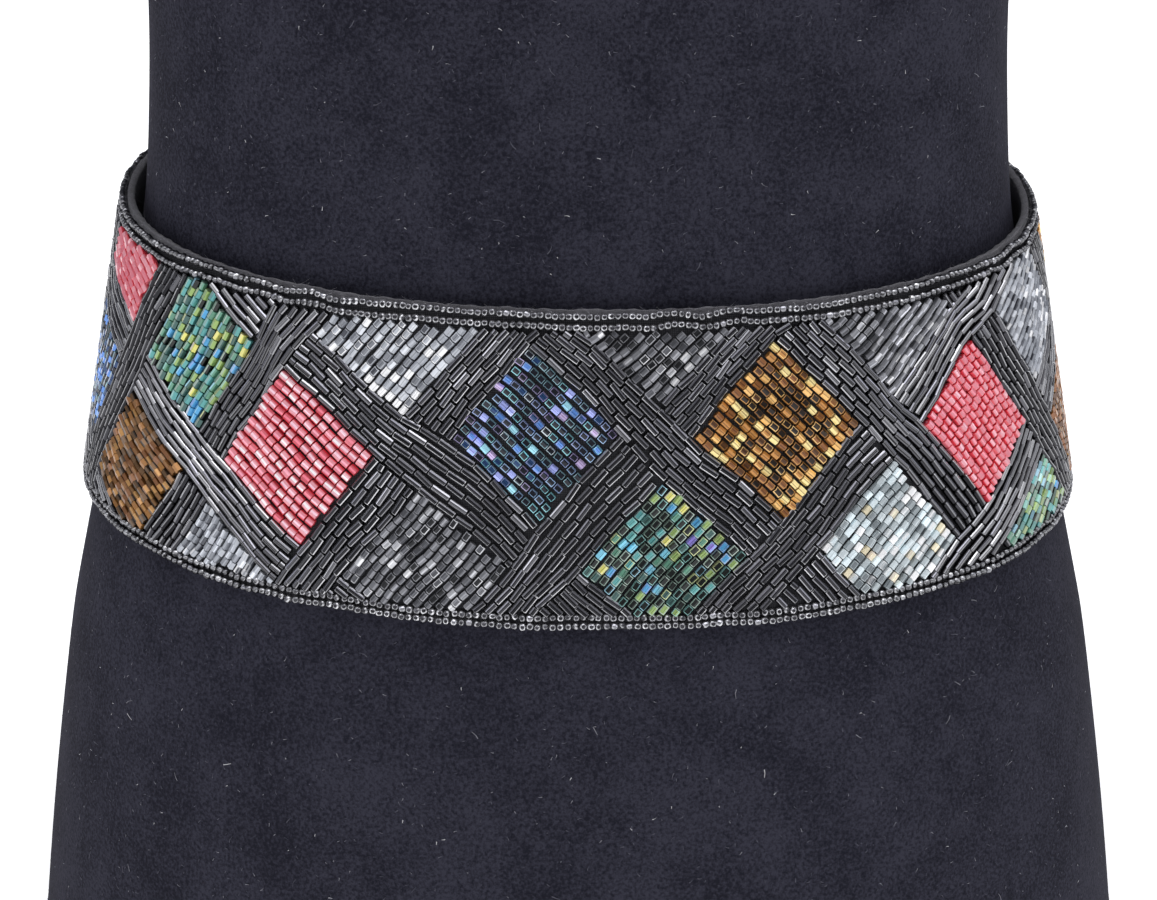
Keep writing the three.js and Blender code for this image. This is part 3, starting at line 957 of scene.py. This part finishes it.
def velvet_finish(name, dark, light):
    """Black cotton velvet: a short dense pile, matt, paler where it lies over."""
    finish, tree = new_finish(name)
    where = add_node(tree, "ShaderNodeTexCoord")
    # The pile shows as grains about 1 mm wide, and as patches 25 mm wide where it is brushed.
    pile = add_node(
        tree,
        "ShaderNodeTexNoise",
        values={"Scale": 1 / (1.0 * MM), "Detail": 3.0, "Roughness": 0.7},
        links={"Vector": where.outputs["Object"]},
    )
    patches = add_node(
        tree,
        "ShaderNodeTexNoise",
        values={"Scale": 1 / (25 * MM), "Detail": 6.0, "Roughness": 0.65},
        links={"Vector": where.outputs["Object"]},
    )
    patch_share = add_node(
        tree,
        "ShaderNodeMath",
        operation="MULTIPLY_ADD",
        values={1: 0.5, 2: -0.25},
        links={0: patches.outputs["Fac"]},
    )
    both = add_node(
        tree,
        "ShaderNodeMath",
        operation="ADD",
        links={0: pile.outputs["Fac"], 1: patch_share.outputs["Value"]},
    )
    looks = {
        "Roughness": 0.95,
        "Specular IOR Level": 0.1,
        "Sheen Weight": 0.04,
        "Sheen Roughness": 0.4,
        "Sheen Tint": (*hex_to_linear("#9a8f96"), 1),
    }
    stops = ((0.36, dark), (0.64, light))
    cloth_shader(tree, both.outputs["Value"], stops, pile.outputs["Fac"], 0.8, 0.3, looks)
    return finish


def fibre_finish(name, stops):
    """Loose cotton fibres: matt and pale, with a tone each."""
    finish, tree = new_finish(name)
    shader = add_node(
        tree,
        "ShaderNodeBsdfPrincipled",
        values={"Roughness": 0.9, "Specular IOR Level": 0.1},
        links={"Base Color": bead_tones(tree, "tone", stops)},
    )
    finish_output(tree, shader.outputs["BSDF"])
    return finish


def felt_finish(name, dark, light):
    """Pressed wool felt: matted fibres, soft and matt, with no weave."""
    finish, tree = new_finish(name)
    where = add_node(tree, "ShaderNodeTexCoord")
    # Matted fibres, in tufts about 0.5 mm wide.
    tufts = add_node(
        tree,
        "ShaderNodeTexNoise",
        values={"Scale": 1 / (0.5 * MM), "Detail": 4.0, "Roughness": 0.75, "Distortion": 1.5},
        links={"Vector": where.outputs["Object"]},
    )
    looks = {
        "Roughness": 0.95,
        "Specular IOR Level": 0.15,
        "Sheen Weight": 0.2,
        "Sheen Roughness": 0.5,
    }
    stops = ((0.3, dark), (0.7, light))
    cloth_shader(tree, tufts.outputs["Fac"], stops, tufts.outputs["Fac"], 0.8, 0.3, looks)
    return finish


BAND_SPACING = 0.314  # metres, in a wave texture of scale 1


def woven_finish(name, dark, light, thread_mm):
    """Plain-woven cotton: threads over and under each other, matt."""
    finish, tree = new_finish(name)
    where = add_node(tree, "ShaderNodeTexCoord")
    threads_up, threads_across = [
        add_node(
            tree,
            "ShaderNodeTexWave",
            wave_type="BANDS",
            bands_direction=way,
            values={"Scale": BAND_SPACING / (thread_mm * MM), "Distortion": 0.8, "Detail": 1.0},
            links={"Vector": where.outputs["Object"]},
        )
        for way in ("Z", "X")
    ]
    weave = add_node(
        tree,
        "ShaderNodeMath",
        operation="MULTIPLY",
        links={0: threads_up.outputs["Fac"], 1: threads_across.outputs["Fac"]},
    ).outputs["Value"]
    looks = {"Roughness": 0.9, "Specular IOR Level": 0.2}
    cloth_shader(tree, weave, ((0.0, dark), (0.8, light)), weave, 0.6, 0.15, looks)
    return finish


# How far up its side a bead's painted line is, as a share of its radius.
LINE_RAISE = 0.13
# Painted highlight lines show on the beads at the front, up to this far along. From there to the
# sides they give way to a soft painted highlight along each bead: its strength, where it is, and
# its half width. The painted bands last further round, and gleam more there. Each fade is from and
# to a share of the way back.
FRONT_TO = 45.0
SIDES_FROM = 150.0
SIDE_LIGHT_SHARE = 0.65
SIDE_LIGHT = (0.15, 0.45, 0.4)
SIDE_GLEAM = 2.6
LINE_FADE = (0.35, 0.85)
BAND_FADE = (0.0, 0.55)
CUT_LINE = ((0.72, 0.13), (0.86, 0.08), False, "LIGHTEN")
# The looks of a bead: the tones of its middle and of its painted line, each from a share of the
# beads on, then how metallic it is, its roughness and coat, and its painted line and its painted
# band as in coated_glass_finish.
BUGLE_LOOKS = (
    ((0.0, "#232326"), (0.4, "#2d2d30"), (0.75, "#3c3c40"), (0.93, "#5d5d61")),
    ((0.0, "#8c8c8f"), (0.3, "#a9a9ac"), (0.75, "#d4d4d6")),
    0.85,
    0.2,
    0.0,
    ((0.7, 0.14), (0.955, 0.025), False, "LIGHTEN"),
    (1.0, 8.5, 0.42, 0.62, 0.17),
)
SEED_LOOKS = (
    ((0.0, "#323235"), (0.7, "#444448"), (0.92, "#85858a")),
    ((0.0, "#9c9c9f"), (0.35, "#b4b4b7"), (0.8, "#dadadd")),
    0.8,
    0.22,
    0.0,
    ((0.78, 0.23), (0.86, 0.22), True, "LIGHTEN"),
    (1.0, 3.0, 0.3, 0.6, 0.24),
)
# Each colour of cut bead: its looks, then how thick it is beside the others, and a diamond's rows
# and beads in each. The near-black middle tones of the gold, blue, green and hematite beads are
# painted reflection of the dim gap, ringed by the painted line.
CUT_BEAD_FINISHES = {
    # Red: its band is a painted highlight, and its line the glass's own red, deepened as painted
    # shade at each bead's edges.
    "red": (
        ((0.0, "#e98694"), (0.3, "#f2a6b1"), (0.66, "#fdcad2"), (0.88, "#e06a78")),
        ((0.0, "#dd3241"), (0.5, "#e64856"), (0.8, "#f07783")),
        0.05,
        0.3,
        0.5,
        ((0.95, 0.3), (1.0, 0.06), False, "MIX"),
        (0.9, 1.8, -0.1, 0.4, 0.22),
        1.17,
        12,
        12,
    ),
    "gold": (
        (
            (0.0, "#1c120b"),
            (0.36, "#56351a"),
            (0.5, "#85532a"),
            (0.63, "#b87f40"),
            (0.77, "#eebc72"),
            (0.89, "#ffe09a"),
        ),
        ((0.0, "#9a6a38"), (0.35, "#c48f50"), (0.8, "#eec27c")),
        0.4,
        0.28,
        0.2,
        CUT_LINE,
        (1.1, 0.5, -0.3, 0.3, 0.13),
        1.04,
        13,
        12,
    ),
    "bronze": (
        (
            (0.0, "#251b11"),
            (0.3, "#553a1c"),
            (0.55, "#744a24"),
            (0.78, "#946632"),
            (0.93, "#d29a50"),
        ),
        ((0.0, "#6b4d2c"), (0.4, "#91683c"), (0.85, "#cf9c5c")),
        0.5,
        0.3,
        0.2,
        CUT_LINE,
        (1.1, 0.5, -0.3, 0.3, 0.13),
        1.08,
        13,
        12,
    ),
    "blue": (
        (
            (0.0, "#121622"),
            (0.62, "#1f3f6a"),
            (0.7, "#5a8ad4"),
            (0.78, "#a6b0f4"),
            (0.87, "#c9b4e0"),
            (0.93, "#a0dcec"),
        ),
        (
            (0.0, "#8aaeb8"),
            (0.25, "#9ab8dc"),
            (0.5, "#9cacd8"),
            (0.66, "#93d4dc"),
            (0.84, "#a89cc4"),
            (0.92, "#dce8ee"),
        ),
        0.4,
        0.25,
        0.3,
        CUT_LINE,
        (1.15, 0.55, -0.25, 0.25, 0.1),
        1.0,
        11,
        13,
    ),
    "green": (
        (
            (0.0, "#131917"),
            (0.46, "#3c5c58"),
            (0.55, "#5a8c76"),
            (0.65, "#569a98"),
            (0.75, "#4c98c8"),
            (0.8, "#8ea862"),
            (0.9, "#d4d070"),
            (0.94, "#7ec8e0"),
            (0.98, "#8e80d4"),
        ),
        (
            (0.0, "#8ca296"),
            (0.35, "#aabcb0"),
            (0.6, "#92c4be"),
            (0.8, "#ccd49e"),
            (0.9, "#a4d4e6"),
        ),
        0.4,
        0.25,
        0.3,
        CUT_LINE,
        (1.15, 0.5, -0.2, 0.2, 0.11),
        1.04,
        12,
        11,
    ),
    "silver": (
        (
            (0.0, "#484a52"),
            (0.15, "#85888f"),
            (0.36, "#b4b8bf"),
            (0.62, "#e0e4ea"),
            (0.82, "#ffffff"),
        ),
        ((0.0, "#a4a8af"), (0.5, "#c8ccd2"), (0.85, "#ffffff")),
        0.3,
        0.26,
        0.2,
        CUT_LINE,
        (1.05, 0.7, -0.5, 0.5, 0.13),
        1.0,
        13,
        12,
    ),
    "pearl": (
        (
            (0.0, "#666d72"),
            (0.14, "#98a1a5"),
            (0.36, "#bec8cb"),
            (0.62, "#e2f0f4"),
            (0.84, "#eadfbe"),
            (0.91, "#ffffff"),
        ),
        ((0.0, "#b6c0c2"), (0.5, "#d8e2e4"), (0.85, "#ffffff")),
        0.2,
        0.26,
        0.3,
        CUT_LINE,
        (1.05, 0.74, -0.5, 0.5, 0.13),
        1.02,
        13,
        12,
    ),
    "hematite": (
        (
            (0.0, "#202124"),
            (0.18, "#55565b"),
            (0.45, "#76777c"),
            (0.74, "#8c8d92"),
            (0.9, "#b4b5b9"),
            (0.965, "#eeeff2"),
        ),
        ((0.0, "#85868b"), (0.5, "#9d9ea3"), (0.88, "#d8d9dc")),
        0.5,
        0.28,
        0.1,
        CUT_LINE,
        (0.8, 1.4, -0.5, 0.5, 0.2),
        1.0,
        13,
        12,
    ),
}

# The least tone of some diamonds' beads, how much more it is at the diamond's edge, and the most
# tone: some diamonds' beads keep to lighter or darker tones of their colour, and some grow lighter
# towards the diamond's edge.
TONE_SPANS = {
    (-3, -2): (0.42, 0, 0.77),
    (-3, -1): (0, 0, 0.4),
    (-2, -2): (0, 0, 0.88),
    (-2, -1): (0.4, 0, 0.94),
    (-1, -2): (0, 0, 0.68),
    (-1, 0): (0.12, 0, 1),
    (0, 0): (0, 0.25, 1),
    (1, 1): (0.06, 0.8, 1),
    (1, 2): (0.15, 0, 1),
    (2, 2): (0, 0, 0.4),
    (2, 3): (0, 0, 0.5),
    (3, 2): (0.2, 0, 0.95),
    (3, 3): (0.36, 0, 0.6),
}


# The light tent: dim from where the camera looks, brightest from the sides, dim behind, and
# turned a little to the right. Over it is a softbox, above the belt and a little before it.
LIGHT_TENT = (
    (0.1, "#7c7c7e"),
    (0.34, "#ececf0"),
    (0.46, "#b2b4ba"),
    (0.6, "#62646e"),
    (0.8, "#40424a"),
)
GAP_WAY = (0.12, -0.94, 0.34)
TENT_STRENGTH = 1.3
SOFTBOX_WAY = (0.08, -0.45, 0.89)
SOFTBOX_EDGES = (0.8, 0.93)
SOFTBOX_STRENGTH = 4.0
FLOOR_REACH = 4000.0

# Loose fibres, in millimetres: how many, how wide and how long, and their tones.
FUZZ_COUNT = 8500
FUZZ_WIDTH = 0.14
FUZZ_TONES = ((0.0, "#6e6d72"), (0.6, "#98979c"), (0.9, "#cfced3"))
LINT_COUNT = 19000
LINT_WIDTH = 0.26
LINT_LIFT = 0.25
LINT_HEIGHTS = (8, 730)
SHORT_LINT = (0.4, 1.2)
LONG_LINT = (1.4, 4)
LONG_LINT_SHARE = 0.07
LINT_TONES = ((0.0, "#44444e"), (0.45, "#585862"), (0.8, "#7c7c84"), (0.96, "#b8b8bc"))


class BeltSizes(bpy.types.PropertyGroup):
    """Sizes of the beads, in millimetres."""

    bugle_length: bpy.props.FloatProperty(
        name="Bugle length", description="Length of a black bugle bead, in mm", default=5.75
    )
    bugle_radius: bpy.props.FloatProperty(
        name="Bugle radius", description="Half a bugle bead's thickness, in mm", default=1.06
    )
    bugle_pitch: bpy.props.FloatProperty(
        name="Bugle pitch", description="From one row of bugles to the next, in mm", default=2.5
    )
    cut_radius: bpy.props.FloatProperty(
        name="Cut bead radius", description="Half a cut bead's thickness, in mm", default=1.08
    )
    seed_pitch: bpy.props.FloatProperty(
        name="Seed pitch",
        description="From one seed bead to the next on its row, in mm",
        default=2.0,
    )
    seed_radius: bpy.props.FloatProperty(
        name="Seed radius", description="Half a seed bead's thickness, in mm", default=1.02
    )


class ClothColours(bpy.types.PropertyGroup):
    """Colours of the cloth and of the stage."""

    velvet_dark: bpy.props.StringProperty(
        name="Velvet, dark", description="The velvet's pile seen end on", default="#1b1b24"
    )
    velvet_light: bpy.props.StringProperty(
        name="Velvet, light", description="The velvet's pile where it lies over", default="#353540"
    )
    felt_dark: bpy.props.StringProperty(
        name="Felt, dark", description="Between the felt's tufts", default="#4a494e"
    )
    felt_light: bpy.props.StringProperty(
        name="Felt, light", description="The felt's tufts", default="#858489"
    )
    floor: bpy.props.StringProperty(
        name="Floor", description="The studio's pale floor", default="#f4f4f4"
    )


class PhotoCamera(bpy.types.PropertyGroup):
    """The camera, at the photograph's angle."""

    distance: bpy.props.FloatProperty(
        name="Distance", description="In front of the form's middle", default=0.750, unit="LENGTH"
    )
    height: bpy.props.FloatProperty(
        name="Height", description="Above the form's base", default=0.447, unit="LENGTH"
    )
    pitch: bpy.props.FloatProperty(
        name="Pitch",
        description="How far it looks down",
        default=math.radians(20.6),
        subtype="ANGLE",
    )
    lens: bpy.props.FloatProperty(
        name="Lens", description="On a 36 mm sensor", default=78.56, unit="CAMERA"
    )


class BELT_OT_dress_form(bpy.types.Operator):
    """Makes the limbless velvet dress form."""

    bl_idname = "belt.dress_form"
    bl_label = "Dress form"

    def execute(self, context):
        colours = context.scene.cloth_colours
        finish = velvet_finish("Black velvet", colours.velvet_dark, colours.velvet_light)
        # Rings close together at the base's and the neck's edges, and 6 mm apart between them.
        heights = np.concatenate([np.linspace(0, 4, 4), np.linspace(10, 800, 130), [803, 805]])
        angles = np.arange(FORM_SIDES) * 2 * np.pi / FORM_SIDES
        every_height = np.broadcast_to(heights[:, None], (heights.size, FORM_SIDES))
        points = form_point(angles[None, :], every_height).reshape(-1, 3)
        faces = ring_faces(heights.size, FORM_SIDES).tolist()
        last = (heights.size - 1) * FORM_SIDES
        faces.append(list(range(FORM_SIDES))[::-1])
        faces.append([last + side for side in range(FORM_SIDES)])
        form = add_mesh("velvet_form", points, faces, finish)
        seat(form, "form_velvet", "dress_form")
        return {"FINISHED"}


class BELT_OT_cloth(bpy.types.Operator):
    """Makes the felt lining and the ground cloth that the beads are sewn to."""

    bl_idname = "belt.cloth"
    bl_label = "Lining and ground cloth"

    def execute(self, context):
        colours = context.scene.cloth_colours
        felt = felt_finish("Charcoal wool felt", colours.felt_dark, colours.felt_light)
        # The felt shows above the ground cloth, so there it comes forward to the first seeds.
        outer = LINING_OUT + LINING_THICKNESS
        section = rounded_edge_section(LINING_LOWER, LINING_UPPER, LINING_OUT, outer, 12)
        section = [
            (up, LIP_OUT if up > LIP_LOWER and out > LINING_OUT + 0.1 else out)
            for up, out in section
        ]
        band = sweep_band(section, LEFT_END, RIGHT_END, step=0.8, ragged=0.25)
        lining = add_mesh("felt_lining", *band, felt)
        seat(lining, "lining_felt", "lining")
        cotton = woven_finish("Black cotton ground cloth", "#2c2c2f", "#57575b", 0.5)
        section = rounded_edge_section(0, GROUND_UPPER, -GROUND_THICKNESS, 0, 12)
        ground = add_mesh("ground_cloth", *sweep_band(section, LEFT_END, RIGHT_END), cotton)
        seat(ground, "black_bugles", "beaded_panel")
        return {"FINISHED"}


class BELT_OT_bugle_lattice(bpy.types.Operator):
    """Lays the black bugle beads: the strips down, the strips up, and the plain corners."""

    bl_idname = "belt.bugle_lattice"
    bl_label = "Bugle lattice"

    def execute(self, context):
        sizes = context.scene.belt_sizes
        rng = np.random.default_rng(11)
        finish = coated_glass_finish("Gunmetal coated bugle glass", *BUGLE_LOOKS)
        down = [fill_strip(line, True, rng, sizes) for line in LATTICE_LINES]
        down = bugle_sizes(join_beads(down), rng, sizes)
        piece = scatter_beads("bugles_down", BUGLE, down, finish, rng, BUGLE_SHARP_RINGS)
        seat(piece, "black_bugles", "beaded_panel")
        up = [fill_strip(line, False, rng, sizes) for line in LATTICE_LINES]
        side = DIAMOND_SHARE * LATTICE_STEP
        rows = round(side / sizes.bugle_pitch)
        in_row = round(side / (sizes.bugle_length + BUGLE_GAP))
        for i, j, colour in lattice_cells():
            if colour is None:
                lot = fill_diamond(i, j, rng, rows, in_row, sizes.bugle_radius)
                up.append({key: lot[key] for key in up[0]})
        up = bugle_sizes(join_beads(up), rng, sizes)
        piece = scatter_beads("bugles_up", BUGLE, up, finish, rng, BUGLE_SHARP_RINGS)
        seat(piece, "black_bugles", "beaded_panel")
        return {"FINISHED"}


class BELT_OT_diamonds(bpy.types.Operator):
    """Fills the diamonds with cut beads, one piece for each colour."""

    bl_idname = "belt.diamonds"
    bl_label = "Bead diamonds"

    def execute(self, context):
        sizes = context.scene.belt_sizes
        rng = np.random.default_rng(23)
        cells = lattice_cells()
        for colour, (*looks, thickness, rows, in_row) in CUT_BEAD_FINISHES.items():
            finish = coated_glass_finish(f"{colour.capitalize()} coated cut glass", *looks)
            radius = sizes.cut_radius * thickness
            lots = [
                fill_diamond(i, j, rng, rows, in_row, radius)
                for i, j, of_colour in cells
                if of_colour == colour
            ]
            beads = join_beads(lots)
            beads["roll"] = rng.random(len(beads["along"])) * 2 * np.pi
            beads = trim_to_field(beads)
            nodes = [
                name
                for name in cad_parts
                if name.startswith("diamond_") and name.endswith(colour)
            ]
            piece = scatter_beads(f"cut_beads_{colour}", CUT_BEAD, beads, finish, rng)
            seat(piece, f"{colour}_beads", *nodes)
        return {"FINISHED"}


class BELT_OT_edging(bpy.types.Operator):
    """Lays the two rows of seed beads along each edge."""

    bl_idname = "belt.edging"
    bl_label = "Seed bead edging"

    def execute(self, context):
        sizes = context.scene.belt_sizes
        rng = np.random.default_rng(37)
        finish = coated_glass_finish("Gunmetal coated seed glass", *SEED_LOOKS)
        for edge, rows in EDGING_HEIGHTS.items():
            lots = []
            for height in rows:
                along = np.arange(FIELD_LEFT + 1, FIELD_RIGHT - 1, sizes.seed_pitch)
                along = along + rng.normal(0, 0.08, along.size)
                lots.append(self.row(along, height, rng, sizes))
            beads = join_beads(lots)
            piece = scatter_beads(f"seed_beads_{edge}", SEED_BEAD, beads, finish, rng, ())
            seat(piece, "edging_seeds", f"{edge}_edging_outer", f"{edge}_edging_inner")
        return {"FINISHED"}

    def row(self, along, height, rng, sizes):
        count = along.size
        up = height + edge_wave(along, height)
        out = np.full(count, sizes.seed_radius)
        ahead = belt_point(along + 0.5, height + edge_wave(along + 0.5, height), out)
        centre = belt_point(along, up, out)
        normal = belt_axes(along, up)[1]
        # Most seeds lie along their thread, and some have turned on it.
        turned = rng.normal(0, 0.16, (count, 2)) * rng.choice((1, 1, 1, 2.5), (count, 1))
        heading = unit(ahead - centre)
        rise = unit(np.cross(normal, heading))
        heading = unit(heading + turned[:, :1] * rise + turned[:, 1:] * normal)
        centre = centre + rise * rng.normal(0, 0.1, count)[:, None]
        return {
            "along": along,
            "up": up,
            "centre": centre,
            "heading": heading,
            "normal": unit(normal - heading * np.sum(normal * heading, axis=1, keepdims=True)),
            "length": np.full(count, sizes.seed_pitch * 0.9) * rng.normal(1, 0.08, count),
            "radius": np.full(count, sizes.seed_radius) * rng.normal(1, 0.07, count),
            "roll": rng.random(count) * 2 * np.pi,
        }


class BELT_OT_closure(bpy.types.Operator):
    """Makes the tape that holds the two lapped ends together."""

    bl_idname = "belt.closure"
    bl_label = "Closure tape"

    def execute(self, context):
        finish = woven_finish("Black nylon closure tape", "#0b0b0c", "#1f1f21", 0.8)
        section = rounded_edge_section(TAPE_LOWER, TAPE_UPPER, SEAM, SEAM + TAPE_THICKNESS, 10)
        band = sweep_band(section, FIELD_RIGHT + TAPE_INSETS[0], RIGHT_END - TAPE_INSETS[1])
        seat(add_mesh("hook_tape", *band, finish), "closure_tape", "closure_tape")
        return {"FINISHED"}


class BELT_OT_fibres(bpy.types.Operator):
    """Adds the felt's fuzzy edge, and the lint on the velvet."""

    bl_idname = "belt.fibres"
    bl_label = "Fuzz and lint"

    def execute(self, context):
        rng = np.random.default_rng(53)
        self.fuzz(rng)
        self.lint(rng)
        return {"FINISHED"}

    def fuzz(self, rng):
        count = FUZZ_COUNT
        along = rng.uniform(LEFT_END + 2, RIGHT_END - 2, count)
        up = np.full(count, LINING_UPPER - 0.4)
        out = rng.uniform(LINING_OUT + 0.2, LIP_OUT, count)
        roots = belt_point(along, up, out)
        normal = belt_axes(along, up)[1]
        ahead = unit(belt_point(along + 1, up, out) - roots)
        rise = unit(np.cross(ahead, normal))
        ways = unit(
            rise * rng.uniform(0.15, 1, count)[:, None]
            + ahead * rng.normal(0, 0.8, count)[:, None]
            + normal * rng.normal(0.1, 0.35, count)[:, None]
        )
        lengths = rng.gamma(3, 0.45, count)
        finish = fibre_finish("Loose wool fibres", FUZZ_TONES)
        piece = add_strands("felt_fuzz", roots, ways, normal, lengths, FUZZ_WIDTH, finish, rng)
        seat(piece, "lining_felt")

    def lint(self, rng):
        count = LINT_COUNT
        angles = rng.random(count) * 2 * np.pi
        heights = rng.uniform(*LINT_HEIGHTS, count)
        roots = form_point(angles, heights)
        ahead = unit(form_point(angles + 0.01, heights) - roots)
        rise = unit(form_point(angles, heights + 1) - roots)
        normal = unit(np.cross(ahead, rise))
        turn = rng.random(count) * 2 * np.pi
        ways = ahead * np.cos(turn)[:, None] + rise * np.sin(turn)[:, None]
        is_long = rng.random(count) < LONG_LINT_SHARE
        lengths = np.where(
            is_long, rng.uniform(*LONG_LINT, count), rng.uniform(*SHORT_LINT, count)
        )
        clear = self.clear_of_belt(roots)
        finish = fibre_finish("Pale lint", LINT_TONES)
        piece = add_strands(
            "velvet_lint",
            (roots + normal * LINT_LIFT)[clear],
            ways[clear],
            normal[clear],
            lengths[clear],
            LINT_WIDTH,
            finish,
            rng,
        )
        seat(piece, "form_velvet")

    def clear_of_belt(self, points):
        level = points[:, 2] + SIDE_LEAN * points[:, 0] - FRONT_DIP * points[:, 1]
        up = level - LOWER_EDGE_Z
        return (up < -NEAR_BELT) | (up > BELT_HEIGHT + NEAR_BELT)


class BELT_OT_studio(bpy.types.Operator):
    """Makes the pale floor, the soft light and the camera."""

    bl_idname = "belt.studio"
    bl_label = "Studio"

    def execute(self, context):
        self.floor(context.scene.cloth_colours.floor)
        self.light(context.scene)
        view = context.scene.photo_camera
        lens = bpy.data.cameras.new("photo_camera")
        lens.sensor_width = 36
        lens.lens = view.lens
        lens.clip_start = 0.01
        camera = bpy.data.objects.new("photo_camera", lens)
        camera.location = (0, -view.distance, view.height)
        camera.rotation_euler = (math.pi / 2 - view.pitch, 0, 0)
        context.scene.collection.objects.link(camera)
        context.scene.camera = camera
        context.scene.view_settings.view_transform = "Standard"
        context.scene.view_settings.look = "None"
        return {"FINISHED"}

    def floor(self, colour):
        finish, tree = new_finish("White paper floor")
        shader = add_node(
            tree,
            "ShaderNodeBsdfPrincipled",
            values={
                "Base Color": (*hex_to_linear(colour), 1),
                "Roughness": 0.8,
                "Emission Color": (1, 1, 1, 1),
                "Emission Strength": 0.6,
            },
        )
        finish_output(tree, shader.outputs["BSDF"])
        reach = FLOOR_REACH
        corners = [(-reach, -reach, 0), (reach, -reach, 0), (reach, reach, 0), (-reach, reach, 0)]
        add_mesh("studio_floor", corners, [(0, 1, 2, 3)], finish, False)

    def light(self, scene):
        """White all round, as in a light tent, with the dim gap that the camera looks through."""
        world = bpy.data.worlds.new("light_tent")
        world.use_nodes = True
        tree = world.node_tree
        tree.nodes.clear()
        where = add_node(tree, "ShaderNodeTexCoord")
        gap_way = unit(np.array(GAP_WAY))
        facing = add_node(
            tree,
            "ShaderNodeVectorMath",
            operation="DOT_PRODUCT",
            values={1: tuple(gap_way)},
            links={0: where.outputs["Generated"]},
        )
        place = add_node(
            tree,
            "ShaderNodeMapRange",
            values={"From Min": 1.0, "From Max": -1.0},
            links={"Value": facing.outputs["Value"]},
        )
        ramp = add_node(tree, "ShaderNodeValToRGB", links={"Fac": place.outputs["Result"]})
        set_ramp(ramp, LIGHT_TENT, "EASE")
        overhead = add_node(
            tree,
            "ShaderNodeVectorMath",
            operation="DOT_PRODUCT",
            values={1: tuple(unit(np.array(SOFTBOX_WAY)))},
            links={0: where.outputs["Generated"]},
        )
        softbox = add_node(
            tree,
            "ShaderNodeMapRange",
            interpolation_type="SMOOTHSTEP",
            values={
                "From Min": SOFTBOX_EDGES[0],
                "From Max": SOFTBOX_EDGES[1],
                "To Min": TENT_STRENGTH,
                "To Max": TENT_STRENGTH + SOFTBOX_STRENGTH,
            },
            links={"Value": overhead.outputs["Value"]},
        )
        back = add_node(
            tree,
            "ShaderNodeBackground",
            links={"Color": ramp.outputs["Color"], "Strength": softbox.outputs["Result"]},
        )
        add_node(tree, "ShaderNodeOutputWorld", links={"Surface": back.outputs["Background"]})
        scene.world = world


class BELT_PT_panel(bpy.types.Panel):
    """Lists the belt's pieces in the sidebar."""

    bl_label = "Beaded belt"
    bl_idname = "BELT_PT_panel"
    bl_space_type = "VIEW_3D"
    bl_region_type = "UI"
    bl_category = "Belt"

    def draw(self, context):
        for group in ("belt_sizes", "cloth_colours", "photo_camera"):
            settings = getattr(context.scene, group)
            for name in settings.__annotations__:
                self.layout.prop(settings, name)
        for operator in OPERATORS:
            self.layout.operator(operator.bl_idname)


OPERATORS = (
    BELT_OT_studio,
    BELT_OT_dress_form,
    BELT_OT_cloth,
    BELT_OT_bugle_lattice,
    BELT_OT_diamonds,
    BELT_OT_edging,
    BELT_OT_closure,
    BELT_OT_fibres,
)
GROUPS = {
    "belt_sizes": BeltSizes,
    "cloth_colours": ClothColours,
    "photo_camera": PhotoCamera,
}


def register():
    for made_class in (*GROUPS.values(), *OPERATORS, BELT_PT_panel):
        bpy.utils.register_class(made_class)
    for name, group in GROUPS.items():
        setattr(bpy.types.Scene, name, bpy.props.PointerProperty(type=group))


def unregister():
    for name in GROUPS:
        delattr(bpy.types.Scene, name)
    for made_class in (BELT_PT_panel, *reversed(OPERATORS), *GROUPS.values()):
        bpy.utils.unregister_class(made_class)


def main():
    register()
    for operator in OPERATORS:
        group, name = operator.bl_idname.split(".")
        getattr(getattr(bpy.ops, group), name)()


if __name__ == "__main__":
    main()
